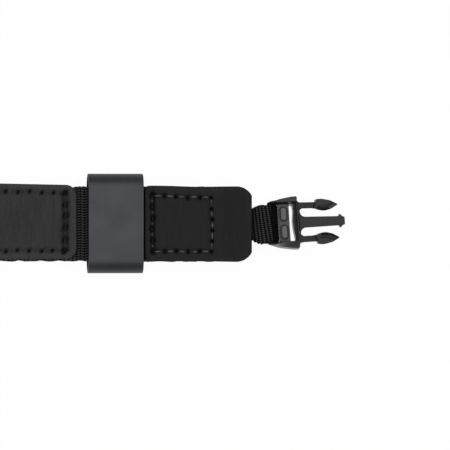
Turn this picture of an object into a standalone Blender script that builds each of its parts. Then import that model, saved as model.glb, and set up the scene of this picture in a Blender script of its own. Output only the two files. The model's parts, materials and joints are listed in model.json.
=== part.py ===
"""A camera wrist strap with a male side-release buckle, lying flat with its sewn end tab to +X.

One band of wide webbing makes the wrist loop. A leather pad is sewn along its outer face, a flattened
metal sleeve slides along both runs to tighten the loop, and a leather tab closes the two ends of the
band round the two ends of a narrow webbing loop, which holds the buckle.

Units are metres, +Z is up, and the strap lies on z = 0 with the buckle's tip to +X. Along X every
place is counted from the tab's end beside the sleeve, and START then puts the middle of the whole
strap at x = 0.
"""

import math

import bmesh
import bpy
from mathutils import Euler, Matrix, Vector

# Wide webbing and the wrist loop, whose lower run has drifted a little to -Y
WEBBING_WIDTH = 0.0195
WEBBING_THICKNESS = 0.0012
LOOP_REACH = 0.1771
RUN_DRIFT = 0.0004
BEND_LENGTH = 0.0700
BEND_HEIGHT = 0.0180
BEND_STEPS = 14
ROUND_STEPS = 16

# Leather pad on the outer face of the loop, sewn on a little to +Y
PAD_WIDTH = 0.0191
PAD_SHIFT = 0.0003
PAD_THICKNESS = 0.0013
PAD_FLARE = 0.0010
PAD_FLARE_LENGTH = 0.0300
PAD_CORNER = 0.0029
PAD_SIDE_MARGIN = 0.0021
PAD_END_MARGIN = 0.0026
PAD_TO_SLEEVE = 0.0034
CORNER_STEPS = 6

# Sleeve that slides along both runs
SLEEVE_LENGTH = 0.01455
SLEEVE_WALL = 0.0009
SLEEVE_SIDE_PLAY = 0.00215
SLEEVE_HEIGHT_PLAY = 0.00025
SLEEVE_CORNER = 0.0031
SLEEVE_STOP_GAP = 0.0003
SLEEVE_EDGE = 0.00012

# Leather end tab, an upper and a lower piece
TAB_LENGTH = 0.0284
TAB_THICKNESS = 0.0012
TAB_SIDE_MARGIN = 0.00022
TAB_CORNER = 0.0016
TAB_END_ARC = 0.0048
TAB_END_REACH = 0.0042
TAB_WEBBING_INSET = 0.0074
TAB_DROP_LENGTH = 0.0048
TAB_DROP_STEPS = 6

# Seams: a thread in a channel pressed into the leather
THREAD_RADIUS = 0.00022
THREAD_SINK = 0.00024
CHANNEL_GAP = 0.00016
CHANNEL_SLOPE = 0.00025
SEAM_CORNER = 0.0004
TAB_SEAM_START = 0.0024
TAB_SEAM_LENGTH = 0.0157
TAB_SEAM_WIDTH = 0.0143

# Narrow webbing loop that holds the buckle
NARROW_WIDTH = 0.0100
NARROW_THICKNESS = 0.0010
NARROW_INSET = 0.0040
NARROW_PINCH = 0.0011
NARROW_REACH = 0.00515
RIB_PITCH = 0.00127
RIB_DEPTH = 0.00012
STEPS_PER_RIB = 6

# Male half of the side-release buckle, in its own plane: u runs to its tip and v across it
BUCKLE_YAW = math.radians(2.5)
BUCKLE_ROLL = math.radians(-10.0)
BAR_RADIUS = 0.0007
WING_THICKNESS = 0.0015
WING_HEIGHT = 0.0050
WING_LENGTH = 0.0087
WING_BACK = 0.0012
KEEPER_LENGTH = 0.0029
KEEPER_HEIGHT = 0.0016
KEEPER_RISE = 0.0002
GRIP_LENGTH = 0.0039
GRIP_WIDTH = 0.0019
GRIP_SPACING = 0.0049
GRIP_RISE = 0.00025
SLOT_LENGTH = 0.0013
SLOT_BULGE = 0.0005
CROSSBAR_LENGTH = 0.0011
CROSSBAR_HEIGHT = 0.0034
ROOT_LENGTH = 0.00055
ARM_THICKNESS = 0.0010
ARM_HEIGHT = 0.0028
ARM_LENGTH = 0.0101
ARM_INSET = 0.00014
HEAD_LENGTH = 0.0059
HEAD_OUT = 0.0005
HEAD_IN = 0.0007
HEAD_HEIGHT = 0.0038
TONGUE_LENGTH = 0.01175
TONGUE_ROOT_WIDTH = 0.0026
TONGUE_TIP_WIDTH = 0.0020
TONGUE_HEIGHT = 0.0020
TONGUE_FILLET = 0.0014
BARB_OUT = 0.0008
BARB_LENGTH = 0.0009
PLASTIC_EDGE = 0.00018

# Gap kept between pieces that touch on the real strap
FIT = 0.0002

# Channel round a thread: half its flat bottom, half its mouth and its depth
CHANNEL_FLOOR = THREAD_RADIUS + CHANNEL_GAP / 2
CHANNEL_MOUTH = CHANNEL_FLOOR + CHANNEL_SLOPE
CHANNEL_DEPTH = THREAD_SINK + THREAD_RADIUS + CHANNEL_GAP

# Heights of the layers, counted from the middle plane between the two runs
RUN_MIDDLE = FIT / 2 + WEBBING_THICKNESS / 2
PAD_LIFT = WEBBING_THICKNESS / 2 + FIT + PAD_THICKNESS / 2
RUN_STACK = 2 * (RUN_MIDDLE + PAD_LIFT + PAD_THICKNESS / 2)
NARROW_MIDDLE = FIT / 2 + NARROW_THICKNESS / 2
TAB_WEBBING_MIDDLE = FIT / 2 + NARROW_THICKNESS + FIT + WEBBING_THICKNESS / 2
TAB_MIDDLE = TAB_WEBBING_MIDDLE + WEBBING_THICKNESS / 2 + FIT + TAB_THICKNESS / 2
TAB_STACK = 2 * TAB_MIDDLE + TAB_THICKNESS

# Sleeve and tab sizes that follow from what they hold
STRAP_WIDTH = max(WEBBING_WIDTH + RUN_DRIFT, PAD_WIDTH + PAD_FLARE)
SLEEVE_WIDTH = STRAP_WIDTH + 2 * (SLEEVE_SIDE_PLAY + SLEEVE_WALL)
SLEEVE_HEIGHT = RUN_STACK + 2 * (SLEEVE_HEIGHT_PLAY + SLEEVE_WALL)
TAB_WIDTH = WEBBING_WIDTH + 2 * TAB_SIDE_MARGIN

# Buckle places along u and across v, from the middle of its tail bar
OPENING_HALF = NARROW_WIDTH / 2 + FIT
WRAP_RADIUS = BAR_RADIUS + FIT + NARROW_THICKNESS / 2
KEEPER_START = WRAP_RADIUS + NARROW_THICKNESS / 2 + FIT
KEEPER_END = KEEPER_START + KEEPER_LENGTH
CROSSBAR_START = KEEPER_END + SLOT_LENGTH
CROSSBAR_END = CROSSBAR_START + CROSSBAR_LENGTH
ARM_OUTER = OPENING_HALF - ARM_INSET
ARM_INNER = ARM_OUTER - ARM_THICKNESS
ROOT_END = CROSSBAR_END + ROOT_LENGTH
ROOT_HALF = ARM_INNER + ARM_THICKNESS / 3
TONGUE_END = ROOT_END + TONGUE_LENGTH
WING_OUTER = OPENING_HALF + WING_THICKNESS

# Height of the middle plane, so that the lowest piece lies on z = 0
BUCKLE_DEPTH = WING_OUTER * math.sin(abs(BUCKLE_ROLL)) + WING_HEIGHT / 2 * math.cos(BUCKLE_ROLL)
MIDDLE = max(SLEEVE_HEIGHT / 2, TAB_STACK / 2, BUCKLE_DEPTH)

# Places along X, and the shift that puts the middle of the strap at x = 0
TIP = TAB_LENGTH + NARROW_REACH + TONGUE_END * math.cos(BUCKLE_YAW)
START = (LOOP_REACH - TIP) / 2
SLEEVE_END = START - SLEEVE_STOP_GAP
PAD_END = SLEEVE_END - SLEEVE_LENGTH - PAD_TO_SLEEVE
BEND_START = START - LOOP_REACH + BEND_LENGTH
HINGE = Vector((START + TAB_LENGTH + NARROW_REACH, 0.0, MIDDLE))
BUCKLE_TURN = Euler((BUCKLE_ROLL, 0.0, BUCKLE_YAW), "XYZ")


def make_collection(name):
    collection = bpy.data.collections.new(name)
    bpy.context.scene.collection.children.link(collection)
    return collection


def make_material(name, colour, roughness, metallic=0.0):
    """A Principled material of one linear colour."""
    material = bpy.data.materials.new(name)
    material.use_nodes = True
    shader = material.node_tree.nodes["Principled BSDF"]
    shader.inputs["Base Color"].default_value = (*colour, 1.0)
    shader.inputs["Roughness"].default_value = roughness
    shader.inputs["Metallic"].default_value = metallic
    return material


def add_object(name, data, collection, material=None, parent=None):
    item = bpy.data.objects.new(name, data)
    collection.objects.link(item)
    if material is not None:
        data.materials.append(material)
    if parent is not None:
        item.parent = parent
    return item


def smooth(share):
    """Eases a share from 0 to 1 with level ends."""
    share = min(max(share, 0.0), 1.0)
    return share * share * (3.0 - 2.0 * share)


def spread(start, end, steps):
    """Evenly spaced numbers from start to end, both included."""
    return [start + (end - start) * step / steps for step in range(steps + 1)]


def rounded(corners, steps=CORNER_STEPS):
    """The closed outline through (x, y, radius) corners, with an arc of that radius at each."""
    points = []
    for index, (x, y, radius) in enumerate(corners):
        corner = Vector((x, y))
        before = Vector(corners[index - 1][:2]) - corner
        after = Vector(corners[(index + 1) % len(corners)][:2]) - corner
        if radius <= 0.0:
            points.append(corner)
            continue
        before.normalize()
        after.normalize()
        half = before.angle(after) / 2
        centre = corner + (before + after).normalized() * radius / math.sin(half)
        first = corner + before * radius / math.tan(half) - centre
        last = corner + after * radius / math.tan(half) - centre
        turn = first.angle_signed(last)
        for share in spread(0.0, 1.0, steps):
            points.append(centre + Matrix.Rotation(-turn * share, 2) @ first)
    return points


def flat_curve(name, outlines, thickness, edge):
    """A 2D curve of closed outlines, filled and extruded to a thickness, with rounded edges."""
    curve = bpy.data.curves.new(name, "CURVE")
    curve.dimensions = "2D"
    curve.fill_mode = "BOTH"
    curve.extrude = thickness / 2 - edge
    curve.bevel_depth = edge
    curve.bevel_resolution = 1
    curve.offset = -edge
    for outline in outlines:
        spline = curve.splines.new("POLY")
        spline.points.add(len(outline) - 1)
        for point, place in zip(spline.points, outline):
            point.co = (place[0], place[1], 0.0, 1.0)
        spline.use_cyclic_u = True
    return curve


def ring_curve(name, places, radius):
    """A closed round thread through a ring of places."""
    curve = bpy.data.curves.new(name, "CURVE")
    curve.dimensions = "3D"
    curve.bevel_depth = radius
    curve.bevel_resolution = 2
    spline = curve.splines.new("POLY")
    spline.points.add(len(places) - 1)
    for point, place in zip(spline.points, places):
        point.co = (*place, 1.0)
    spline.use_cyclic_u = True
    return curve


def to_mesh(item):
    """Replaces a curve object with a mesh object of the same name, place and parent, its caps welded."""
    bpy.context.view_layer.update()
    graph = bpy.context.evaluated_depsgraph_get()
    mesh = bpy.data.meshes.new_from_object(item.evaluated_get(graph))
    work = bmesh.new()
    work.from_mesh(mesh)
    bmesh.ops.remove_doubles(work, verts=work.verts, dist=1e-7)
    bmesh.ops.recalc_face_normals(work, faces=work.faces)
    work.to_mesh(mesh)
    work.free()
    name = item.name
    solid = bpy.data.objects.new(name + "_solid", mesh)
    for collection in item.users_collection:
        collection.objects.link(solid)
    solid.parent = item.parent
    solid.matrix_basis = item.matrix_basis.copy()
    bpy.data.objects.remove(item)
    solid.name = name
    return solid


def join(item, operand):
    """Joins a hidden operand to an object with a live Boolean."""
    modifier = item.modifiers.new(operand.name, "BOOLEAN")
    modifier.operation = "UNION"
    modifier.solver = "EXACT"
    modifier.object = operand
    operand.hide_render = True
    operand.display_type = "WIRE"


def sheet(name, rows, thickness, offset, collection, material, pressed=None):
    """A grid laid through rows of places and given a thickness. The offset is 0 where the rows are its
    middle, and -1 where they are its inner face. pressed holds, row by row, which places lie in a
    channel."""
    mesh = bpy.data.meshes.new(name)
    work = bmesh.new()
    along = len(rows) - 1
    across = len(rows[0]) - 1
    bmesh.ops.create_grid(work, x_segments=along, y_segments=across, size=1.0)
    channel = []
    for vertex in work.verts:
        row = round((vertex.co.x + 1.0) / 2 * along)
        column = round((vertex.co.y + 1.0) / 2 * across)
        vertex.co = rows[row][column]
        if pressed and pressed[row][column]:
            channel.append(vertex.index)
    work.to_mesh(mesh)
    work.free()
    strip = add_object(name, mesh, collection, material)
    solidify = strip.modifiers.new("thickness", "SOLIDIFY")
    solidify.thickness = thickness
    solidify.offset = offset
    solidify.use_even_offset = True
    if pressed:
        full = strip.vertex_groups.new(name="full")
        full.add(range(len(mesh.vertices)), 1.0, "REPLACE")
        full.add(channel, 0.0, "REPLACE")
        solidify.vertex_group = "full"
        solidify.thickness_vertex_group = 1.0 - CHANNEL_DEPTH / thickness
    return strip


def webbing(name, stations, thickness, collection, material):
    """A webbing strip through (middle, across, half width) stations."""
    rows = []
    for middle, across, half in stations:
        rows.append([middle + across * half * side for side in (-1.0, 0.0, 1.0)])
    return sheet(name, rows, thickness, 0.0, collection, material)


def bend_line(outward=0.0):
    """The loop's bend seen from the side, as (place, outward direction, run) from the upper run round
    to the lower run, moved outwards from the webbing's middle line. run goes from 1 above to -1 below.
    """
    lift = PAD_LIFT + PAD_THICKNESS / 2
    top = BEND_HEIGHT - lift
    bottom = lift
    radius = (top - bottom) / 2
    centre = Vector((START - LOOP_REACH + lift + radius, 0.0, bottom + radius))
    line = []
    for share in spread(0.0, 1.0, BEND_STEPS):
        x = BEND_START + (centre.x - BEND_START) * share
        z = MIDDLE + RUN_MIDDLE + (top - MIDDLE - RUN_MIDDLE) * smooth(share)
        line.append((Vector((x, 0.0, z)), 1.0))
    for angle in spread(math.pi / 2, 3 * math.pi / 2, ROUND_STEPS)[1:-1]:
        place = centre + radius * Vector((math.cos(angle), 0.0, math.sin(angle)))
        line.append((place, math.sin(angle)))
    for share in spread(1.0, 0.0, BEND_STEPS):
        x = BEND_START + (centre.x - BEND_START) * share
        z = MIDDLE - RUN_MIDDLE + (bottom - MIDDLE + RUN_MIDDLE) * smooth(share)
        line.append((Vector((x, 0.0, z)), -1.0))
    places = [place for place, _ in line]
    moved = []
    for index, (place, run) in enumerate(line):
        before = places[max(index - 1, 0)]
        after = places[min(index + 1, len(places) - 1)]
        along = (after - before).normalized()
        direction = Vector((along.z, 0.0, -along.x))
        if index in (0, len(line) - 1):
            direction = Vector((0.0, 0.0, run))
        moved.append((place + direction * outward, direction, run))
    return moved


def webbing_stations():
    """The wide webbing's stations, from its upper end in the tab round the loop to its lower end."""
    across = Vector((0.0, 1.0, 0.0))
    rise_start = PAD_END
    rise_end = START + NARROW_INSET
    free_end = START + TAB_LENGTH - TAB_WEBBING_INSET
    rise = [(rise_start, RUN_MIDDLE)]
    for share in spread(0.0, 1.0, 8)[1:]:
        x = rise_start + (rise_end - rise_start) * share
        rise.append((x, RUN_MIDDLE + (TAB_WEBBING_MIDDLE - RUN_MIDDLE) * smooth(share)))
    rise.append((free_end, TAB_WEBBING_MIDDLE))
    stations = []
    for x, height in reversed(rise):
        stations.append((Vector((x, 0.0, MIDDLE + height)), 1.0))
    for place, _, run in bend_line():
        stations.append((place, run))
    for x, height in rise:
        stations.append((Vector((x, 0.0, MIDDLE - height)), -1.0))
    half = WEBBING_WIDTH / 2
    drifted = []
    for place, run in stations:
        drift = Vector((0.0, -RUN_DRIFT * (1.0 - run) / 2, 0.0))
        drifted.append((place + drift, across, half))
    return drifted


def pad_edges(inset):
    """The pad's two side edges, y at -Y and at +Y, at a distance from its nearer end."""
    share = min(inset / PAD_FLARE_LENGTH, 1.0)
    low = PAD_SHIFT - PAD_WIDTH / 2
    return low, PAD_SHIFT + PAD_WIDTH / 2 + PAD_FLARE * share


def pad_line(outward, first_inset, insets):
    """The pad's middle line moved outwards, as (place, outward direction, inset) from its upper end to
    its lower end. The insets, counted from each end, add places along the straight runs.
    """
    line = []
    straight = [first_inset, *[inset for inset in insets if inset > first_inset]]
    for inset in straight:
        place = Vector((PAD_END - inset, 0.0, MIDDLE + RUN_MIDDLE + PAD_LIFT + outward))
        line.append((place, Vector((0.0, 0.0, 1.0)), inset))
    bend = bend_line(PAD_LIFT + outward)
    travelled = 0.0
    half = []
    for index, (place, direction, _) in enumerate(bend):
        travelled += (place - bend[max(index - 1, 0)][0]).length
        half.append((place, direction, travelled))
    whole = travelled
    for place, direction, distance in half:
        inset = PAD_END - BEND_START + min(distance, whole - distance)
        line.append((place, direction, inset))
    for inset in reversed(straight):
        place = Vector((PAD_END - inset, 0.0, MIDDLE - RUN_MIDDLE - PAD_LIFT - outward))
        line.append((place, Vector((0.0, 0.0, -1.0)), inset))
    return line


def pad_rows():
    """The pad's inner face as rows of places, its corners rounded in plan, and beside them which places
    the seam's channel presses in."""
    insets = []
    for angle in spread(0.0, math.pi / 2, CORNER_STEPS):
        insets.append(PAD_CORNER * (1.0 - math.cos(angle)))
    steps = (-CHANNEL_MOUTH, -CHANNEL_FLOOR, CHANNEL_FLOOR, CHANNEL_MOUTH)
    clear = CHANNEL_MOUTH + CHANNEL_SLOPE / 2
    insets = [inset for inset in insets if abs(inset - PAD_END_MARGIN) > clear]
    insets += [PAD_END_MARGIN + step for step in steps]
    insets.append(PAD_FLARE_LENGTH)
    rows = []
    pressed = []
    for place, _, inset in pad_line(-PAD_THICKNESS / 2, 0.0, sorted(insets)):
        low, high = pad_edges(inset)
        sides = [low, *[low + PAD_SIDE_MARGIN + step for step in steps]]
        sides += [*[high - PAD_SIDE_MARGIN + step for step in steps], high]
        trim = 0.0
        if inset < PAD_CORNER:
            trim = PAD_CORNER - math.sqrt(PAD_CORNER**2 - (PAD_CORNER - inset) ** 2)
        middle = (low + high) / 2
        shrink = 1.0 - 2 * trim / (high - low)
        row = []
        row_pressed = []
        for side in sides:
            row.append(place + Vector((0.0, middle + (side - middle) * shrink, 0.0)))
            beyond_end = inset - PAD_END_MARGIN
            beyond_side = min(side - low, high - side) - PAD_SIDE_MARGIN
            nearest = min(beyond_end, beyond_side)
            row_pressed.append(abs(nearest) < (CHANNEL_FLOOR + CHANNEL_MOUTH) / 2)
        rows.append(row)
        pressed.append(row_pressed)
    return rows, pressed


def pad_seam():
    """The ring that the pad's seam follows, sunk below the leather's outer face."""
    outward = PAD_THICKNESS / 2 - THREAD_SINK
    insets = []
    for angle in spread(0.0, math.pi / 2, 4):
        insets.append(PAD_END_MARGIN + SEAM_CORNER * (1.0 - math.cos(angle)))
    line = pad_line(outward, insets[0], [*insets[1:], PAD_FLARE_LENGTH])
    high_side = []
    low_side = []
    for place, _, inset in line:
        low, high = pad_edges(inset)
        from_corner = min(inset - PAD_END_MARGIN, SEAM_CORNER)
        trim = SEAM_CORNER - math.sqrt(SEAM_CORNER**2 - (SEAM_CORNER - from_corner) ** 2)
        high_side.append(place + Vector((0.0, high - PAD_SIDE_MARGIN - trim, 0.0)))
        low_side.append(place + Vector((0.0, low + PAD_SIDE_MARGIN + trim, 0.0)))
    return [*high_side, *reversed(low_side)]


def make_loop(parts, looks):
    """The wide webbing, the leather pad sewn on it and the pad's thread."""
    webbing("loop_webbing", webbing_stations(), WEBBING_THICKNESS, parts, looks["webbing"])
    rows, pressed = pad_rows()
    sheet("wrist_pad", rows, PAD_THICKNESS, -1.0, parts, looks["leather"], pressed)
    thread = ring_curve("pad_thread", pad_seam(), THREAD_RADIUS)
    add_object("pad_thread", thread, parts, looks["thread"])


def make_sleeve(parts, looks):
    """The flattened sleeve, with its origin in its middle on the line that it slides along."""
    outlines = []
    for shrink in (0.0, SLEEVE_WALL):
        half_width = SLEEVE_WIDTH / 2 - shrink
        half_height = SLEEVE_HEIGHT / 2 - shrink
        radius = SLEEVE_CORNER - shrink
        corners = [
            (-half_width, -half_height, radius),
            (half_width, -half_height, radius),
            (half_width, half_height, radius),
            (-half_width, half_height, radius),
        ]
        outlines.append(rounded(corners))
    curve = flat_curve("sleeve", outlines, SLEEVE_LENGTH, SLEEVE_EDGE)
    sleeve = add_object("sleeve", curve, parts, looks["metal"])
    sleeve.rotation_euler = (math.pi / 2, 0.0, math.pi / 2)
    sleeve.location = (SLEEVE_END - SLEEVE_LENGTH / 2, 0.0, MIDDLE)


def tab_half_width(x):
    """Half the tab's width at a distance from its end beside the sleeve: small corners there, and at
    the other end two wide arcs that the straight edge cuts short."""
    half = TAB_WIDTH / 2
    into_arc = x - (TAB_LENGTH - TAB_END_REACH)
    if x < TAB_CORNER:
        half -= TAB_CORNER - math.sqrt(TAB_CORNER**2 - (TAB_CORNER - x) ** 2)
    if into_arc > 0.0:
        half -= TAB_END_ARC - math.sqrt(TAB_END_ARC**2 - into_arc**2)
    return half


def tab_rows(side):
    """One tab piece's inner face as rows of places, and beside them which places the seam's channel
    presses in. Past the wide webbing's end the leather comes down onto the narrow webbing."""
    seam_end = TAB_SEAM_START + TAB_SEAM_LENGTH
    steps = (-CHANNEL_MOUTH, -CHANNEL_FLOOR, CHANNEL_FLOOR, CHANNEL_MOUTH)
    drop_start = TAB_LENGTH - TAB_WEBBING_INSET + FIT
    places = [TAB_SEAM_START + step for step in steps] + [seam_end + step for step in steps]
    for angle in spread(0.0, math.pi / 2, CORNER_STEPS):
        places.append(TAB_CORNER * (1.0 - math.cos(angle)))
    places += spread(drop_start, drop_start + TAB_DROP_LENGTH, TAB_DROP_STEPS)
    for share in spread(0.0, 1.0, CORNER_STEPS):
        places.append(TAB_LENGTH - TAB_END_REACH * (1.0 - share) ** 2)
    places.sort()
    kept = places[:1]
    for x in places[1:]:
        if x - kept[-1] > CHANNEL_GAP:
            kept.append(x)
    kept[-1] = TAB_LENGTH
    rows = []
    pressed = []
    for x in kept:
        drop = (WEBBING_THICKNESS + FIT) * smooth((x - drop_start) / TAB_DROP_LENGTH)
        height = MIDDLE + side * (TAB_MIDDLE - TAB_THICKNESS / 2 - drop)
        shrink = tab_half_width(x) / (TAB_WIDTH / 2)
        seams = [TAB_SEAM_WIDTH / 2 + step for step in steps]
        half = [*seams, TAB_WIDTH / 2]
        row = []
        row_pressed = []
        for y in [*[-place for place in reversed(half)], *half]:
            row.append(Vector((START + x, y * shrink, height)))
            inside = min(x - TAB_SEAM_START, seam_end - x, TAB_SEAM_WIDTH / 2 - abs(y))
            row_pressed.append(abs(inside) < (CHANNEL_FLOOR + CHANNEL_MOUTH) / 2)
        rows.append(row)
        pressed.append(row_pressed)
    if side > 0.0:
        rows.reverse()
        pressed.reverse()
    return rows, pressed


def tab_seam(height):
    """The ring that the tab's seam follows at a height."""
    half = TAB_SEAM_WIDTH / 2
    start = TAB_SEAM_START
    end = TAB_SEAM_START + TAB_SEAM_LENGTH
    corners = [
        (start, -half, SEAM_CORNER),
        (end, -half, SEAM_CORNER),
        (end, half, SEAM_CORNER),
        (start, half, SEAM_CORNER),
    ]
    return [Vector((START + point.x, point.y, height)) for point in rounded(corners, 4)]


def make_tab(parts, looks):
    """The tab's two leather pieces and the thread in the channel of each."""
    for side, word in ((1.0, "top"), (-1.0, "bottom")):
        rows, pressed = tab_rows(side)
        sheet("tab_" + word, rows, TAB_THICKNESS, -1.0, parts, looks["tab"], pressed)
        height = MIDDLE + side * (TAB_MIDDLE + TAB_THICKNESS / 2 - THREAD_SINK)
        name = "tab_thread_" + word
        add_object(name, ring_curve(name, tab_seam(height), THREAD_RADIUS), parts, looks["thread"])


def narrow_stations():
    """The narrow webbing's stations: out of the tab above, round the buckle's tail bar and back below.
    Between the tab and the bar it turns from the strap's plane into the buckle's."""
    run = []
    inside = START + NARROW_INSET - HINGE.x
    for u in (inside, -NARROW_REACH):
        run.append((u, NARROW_MIDDLE, 0.0))
    steps = round(NARROW_REACH / RIB_PITCH * STEPS_PER_RIB)
    for share in spread(0.0, 1.0, steps)[1:]:
        u = -NARROW_REACH * (1.0 - share)
        height = NARROW_MIDDLE + (WRAP_RADIUS - NARROW_MIDDLE) * smooth(share * 1.2)
        rib = RIB_DEPTH * math.sin(2 * math.pi * (u + NARROW_REACH) / RIB_PITCH)
        swell = smooth(share * 4) * smooth((1.0 - share) * 4)
        run.append((u, height + rib * swell, share))
    wrap = []
    for angle in spread(math.pi / 2, -math.pi / 2, 12)[1:-1]:
        wrap.append((WRAP_RADIUS * math.cos(angle), WRAP_RADIUS * math.sin(angle), 1.0))
    back = [(u, -height, share) for u, height, share in reversed(run)]
    stations = []
    for u, height, share in [*run, *wrap, *back]:
        eased = smooth(share)
        turn = Euler((BUCKLE_ROLL * eased, 0.0, BUCKLE_YAW * eased), "XYZ").to_matrix()
        middle = HINGE + turn @ Vector((u, 0.0, height))
        half = NARROW_WIDTH / 2 - NARROW_PINCH * (1.0 - smooth(share * 1.6))
        stations.append((middle, turn @ Vector((0.0, 1.0, 0.0)), half))
    return stations


def mirrored(outline):
    """The outline on the other side of the buckle's middle line, still running the same way round."""
    return [Vector((point[0], -point[1])) for point in reversed(outline)]


def buckle_piece(name, outlines, height, collection, parent, rise=0.0):
    """One flat piece of the moulding, as a mesh in the buckle's own plane."""
    curve = flat_curve(name, outlines, height, PLASTIC_EDGE)
    piece = add_object(name, curve, collection, None, parent)
    piece.location = (0.0, 0.0, rise)
    return to_mesh(piece)


def wing_outline():
    end = WING_LENGTH - WING_BACK
    edge = 0.00025
    return rounded(
        [
            (-WING_BACK, OPENING_HALF, edge),
            (end, OPENING_HALF, edge),
            (end, WING_OUTER, edge),
            (end * 0.45, WING_OUTER, WING_LENGTH),
            (end * 0.1, OPENING_HALF + WING_THICKNESS * 0.6, WING_THICKNESS),
            (-WING_BACK, OPENING_HALF + WING_THICKNESS * 0.3, edge),
        ],
        4,
    )


def grip_outline():
    """One raised oval on the keeper bar."""
    middle = (KEEPER_START + KEEPER_END) / 2
    low = GRIP_SPACING / 2 - GRIP_LENGTH / 2
    high = GRIP_SPACING / 2 + GRIP_LENGTH / 2
    radius = GRIP_WIDTH * 0.45
    return rounded(
        [
            (middle - GRIP_WIDTH / 2, low, radius),
            (middle + GRIP_WIDTH / 2, low, radius),
            (middle + GRIP_WIDTH / 2, high, radius),
            (middle - GRIP_WIDTH / 2, high, radius),
        ]
    )


def bar_outline(start, end, bulge):
    """A bar across the frame, its ends inside the wings. Its back edge bulges in the middle."""
    reach = OPENING_HALF + WING_THICKNESS / 3
    corners = [
        (end, -reach, 0.0),
        (end, reach, 0.0),
        (start, reach, 0.0),
    ]
    for v in (0.7, 0.3, -0.3, -0.7):
        shift = bulge if abs(v) < 0.5 else -bulge * 0.3
        corners.append((start - shift, OPENING_HALF * v, OPENING_HALF * 0.3 if bulge else 0.0))
    corners.append((start, -reach, 0.0))
    return rounded(corners, 4)


def tongue_outline():
    """The middle tongue on the root that joins it to the arms: wide fillets, a slight taper, and a barb
    each side near its tip."""
    root = TONGUE_ROOT_WIDTH / 2
    tip = TONGUE_TIP_WIDTH / 2
    inside = CROSSBAR_END - CROSSBAR_LENGTH / 2
    barb_end = TONGUE_END - BARB_LENGTH
    half = [
        (inside, -ROOT_HALF, 0.0),
        (ROOT_END, -ROOT_HALF, 0.0),
        (ROOT_END, -root, TONGUE_FILLET),
        (barb_end - BARB_LENGTH, -tip, 0.0),
        (barb_end, -tip - BARB_OUT, 0.0),
        (barb_end + BARB_LENGTH / 3, -tip, 0.0),
        (TONGUE_END, -tip, PLASTIC_EDGE),
    ]
    return rounded([*half, *[(u, -v, radius) for u, v, radius in reversed(half)]], 5)


def arm_outline():
    """One latch arm, from the crossbar into the middle of its head."""
    inside = CROSSBAR_START + CROSSBAR_LENGTH / 3
    end = ROOT_END + ARM_LENGTH - HEAD_LENGTH / 2
    return rounded(
        [
            (inside, ARM_INNER, 0.0),
            (end, ARM_INNER, 0.0),
            (end, ARM_OUTER, 0.0),
            (inside, ARM_OUTER, 0.0),
        ]
    )


def head_outline():
    """A latch head: a step outwards, a leaf shape and a blunt point."""
    start = ROOT_END + ARM_LENGTH - HEAD_LENGTH
    high = ARM_OUTER + HEAD_OUT
    low = ARM_INNER - HEAD_IN
    middle = (high + low) / 2
    return rounded(
        [
            (start - HEAD_LENGTH * 0.15, ARM_INNER, HEAD_LENGTH * 0.1),
            (start + HEAD_LENGTH * 0.2, low, HEAD_LENGTH * 0.3),
            (start + HEAD_LENGTH * 0.6, low, HEAD_LENGTH * 0.3),
            (start + HEAD_LENGTH, middle, PLASTIC_EDGE * 1.5),
            (start + HEAD_LENGTH * 0.6, high, HEAD_LENGTH * 0.3),
            (start, high, PLASTIC_EDGE * 2),
            (start, ARM_OUTER - ARM_THICKNESS * 0.3, 0.0),
        ],
        4,
    )


def make_buckle(parts, cutters, looks):
    """The male half of the buckle, one moulding, on the middle of its tail bar."""
    hinge = bpy.data.objects.new("buckle_hinge", None)
    parts.objects.link(hinge)
    hinge.location = HINGE
    hinge.rotation_euler = BUCKLE_TURN

    wings = [wing_outline(), mirrored(wing_outline())]
    buckle = buckle_piece("buckle", wings, WING_HEIGHT, parts, hinge)
    buckle.data.materials.clear()
    buckle.data.materials.append(looks["plastic"])

    keeper = bar_outline(KEEPER_START, KEEPER_END, 0.0)
    crossbar = bar_outline(CROSSBAR_START, CROSSBAR_END, SLOT_BULGE)
    grips = [grip_outline(), mirrored(grip_outline())]
    arms = [arm_outline(), mirrored(arm_outline())]
    heads = [head_outline(), mirrored(head_outline())]
    grip_rise = KEEPER_RISE + GRIP_RISE
    pieces = [
        buckle_piece("keeper_bar", [keeper], KEEPER_HEIGHT, cutters, hinge, KEEPER_RISE),
        buckle_piece("grips", grips, KEEPER_HEIGHT, cutters, hinge, grip_rise),
        buckle_piece("crossbar", [crossbar], CROSSBAR_HEIGHT, cutters, hinge),
        buckle_piece("tongue", [tongue_outline()], TONGUE_HEIGHT, cutters, hinge),
        buckle_piece("arms", arms, ARM_HEIGHT, cutters, hinge),
        buckle_piece("heads", heads, HEAD_HEIGHT, cutters, hinge),
    ]
    mesh = bpy.data.meshes.new("tail_bar")
    work = bmesh.new()
    bmesh.ops.create_cone(
        work,
        cap_ends=True,
        segments=16,
        radius1=BAR_RADIUS,
        radius2=BAR_RADIUS,
        depth=2 * OPENING_HALF + WING_THICKNESS * 0.7,
    )
    work.to_mesh(mesh)
    work.free()
    tail_bar = add_object("tail_bar", mesh, cutters, None, hinge)
    tail_bar.rotation_euler = (math.pi / 2, 0.0, 0.0)
    for piece in [tail_bar, *pieces]:
        join(buckle, piece)


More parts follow.
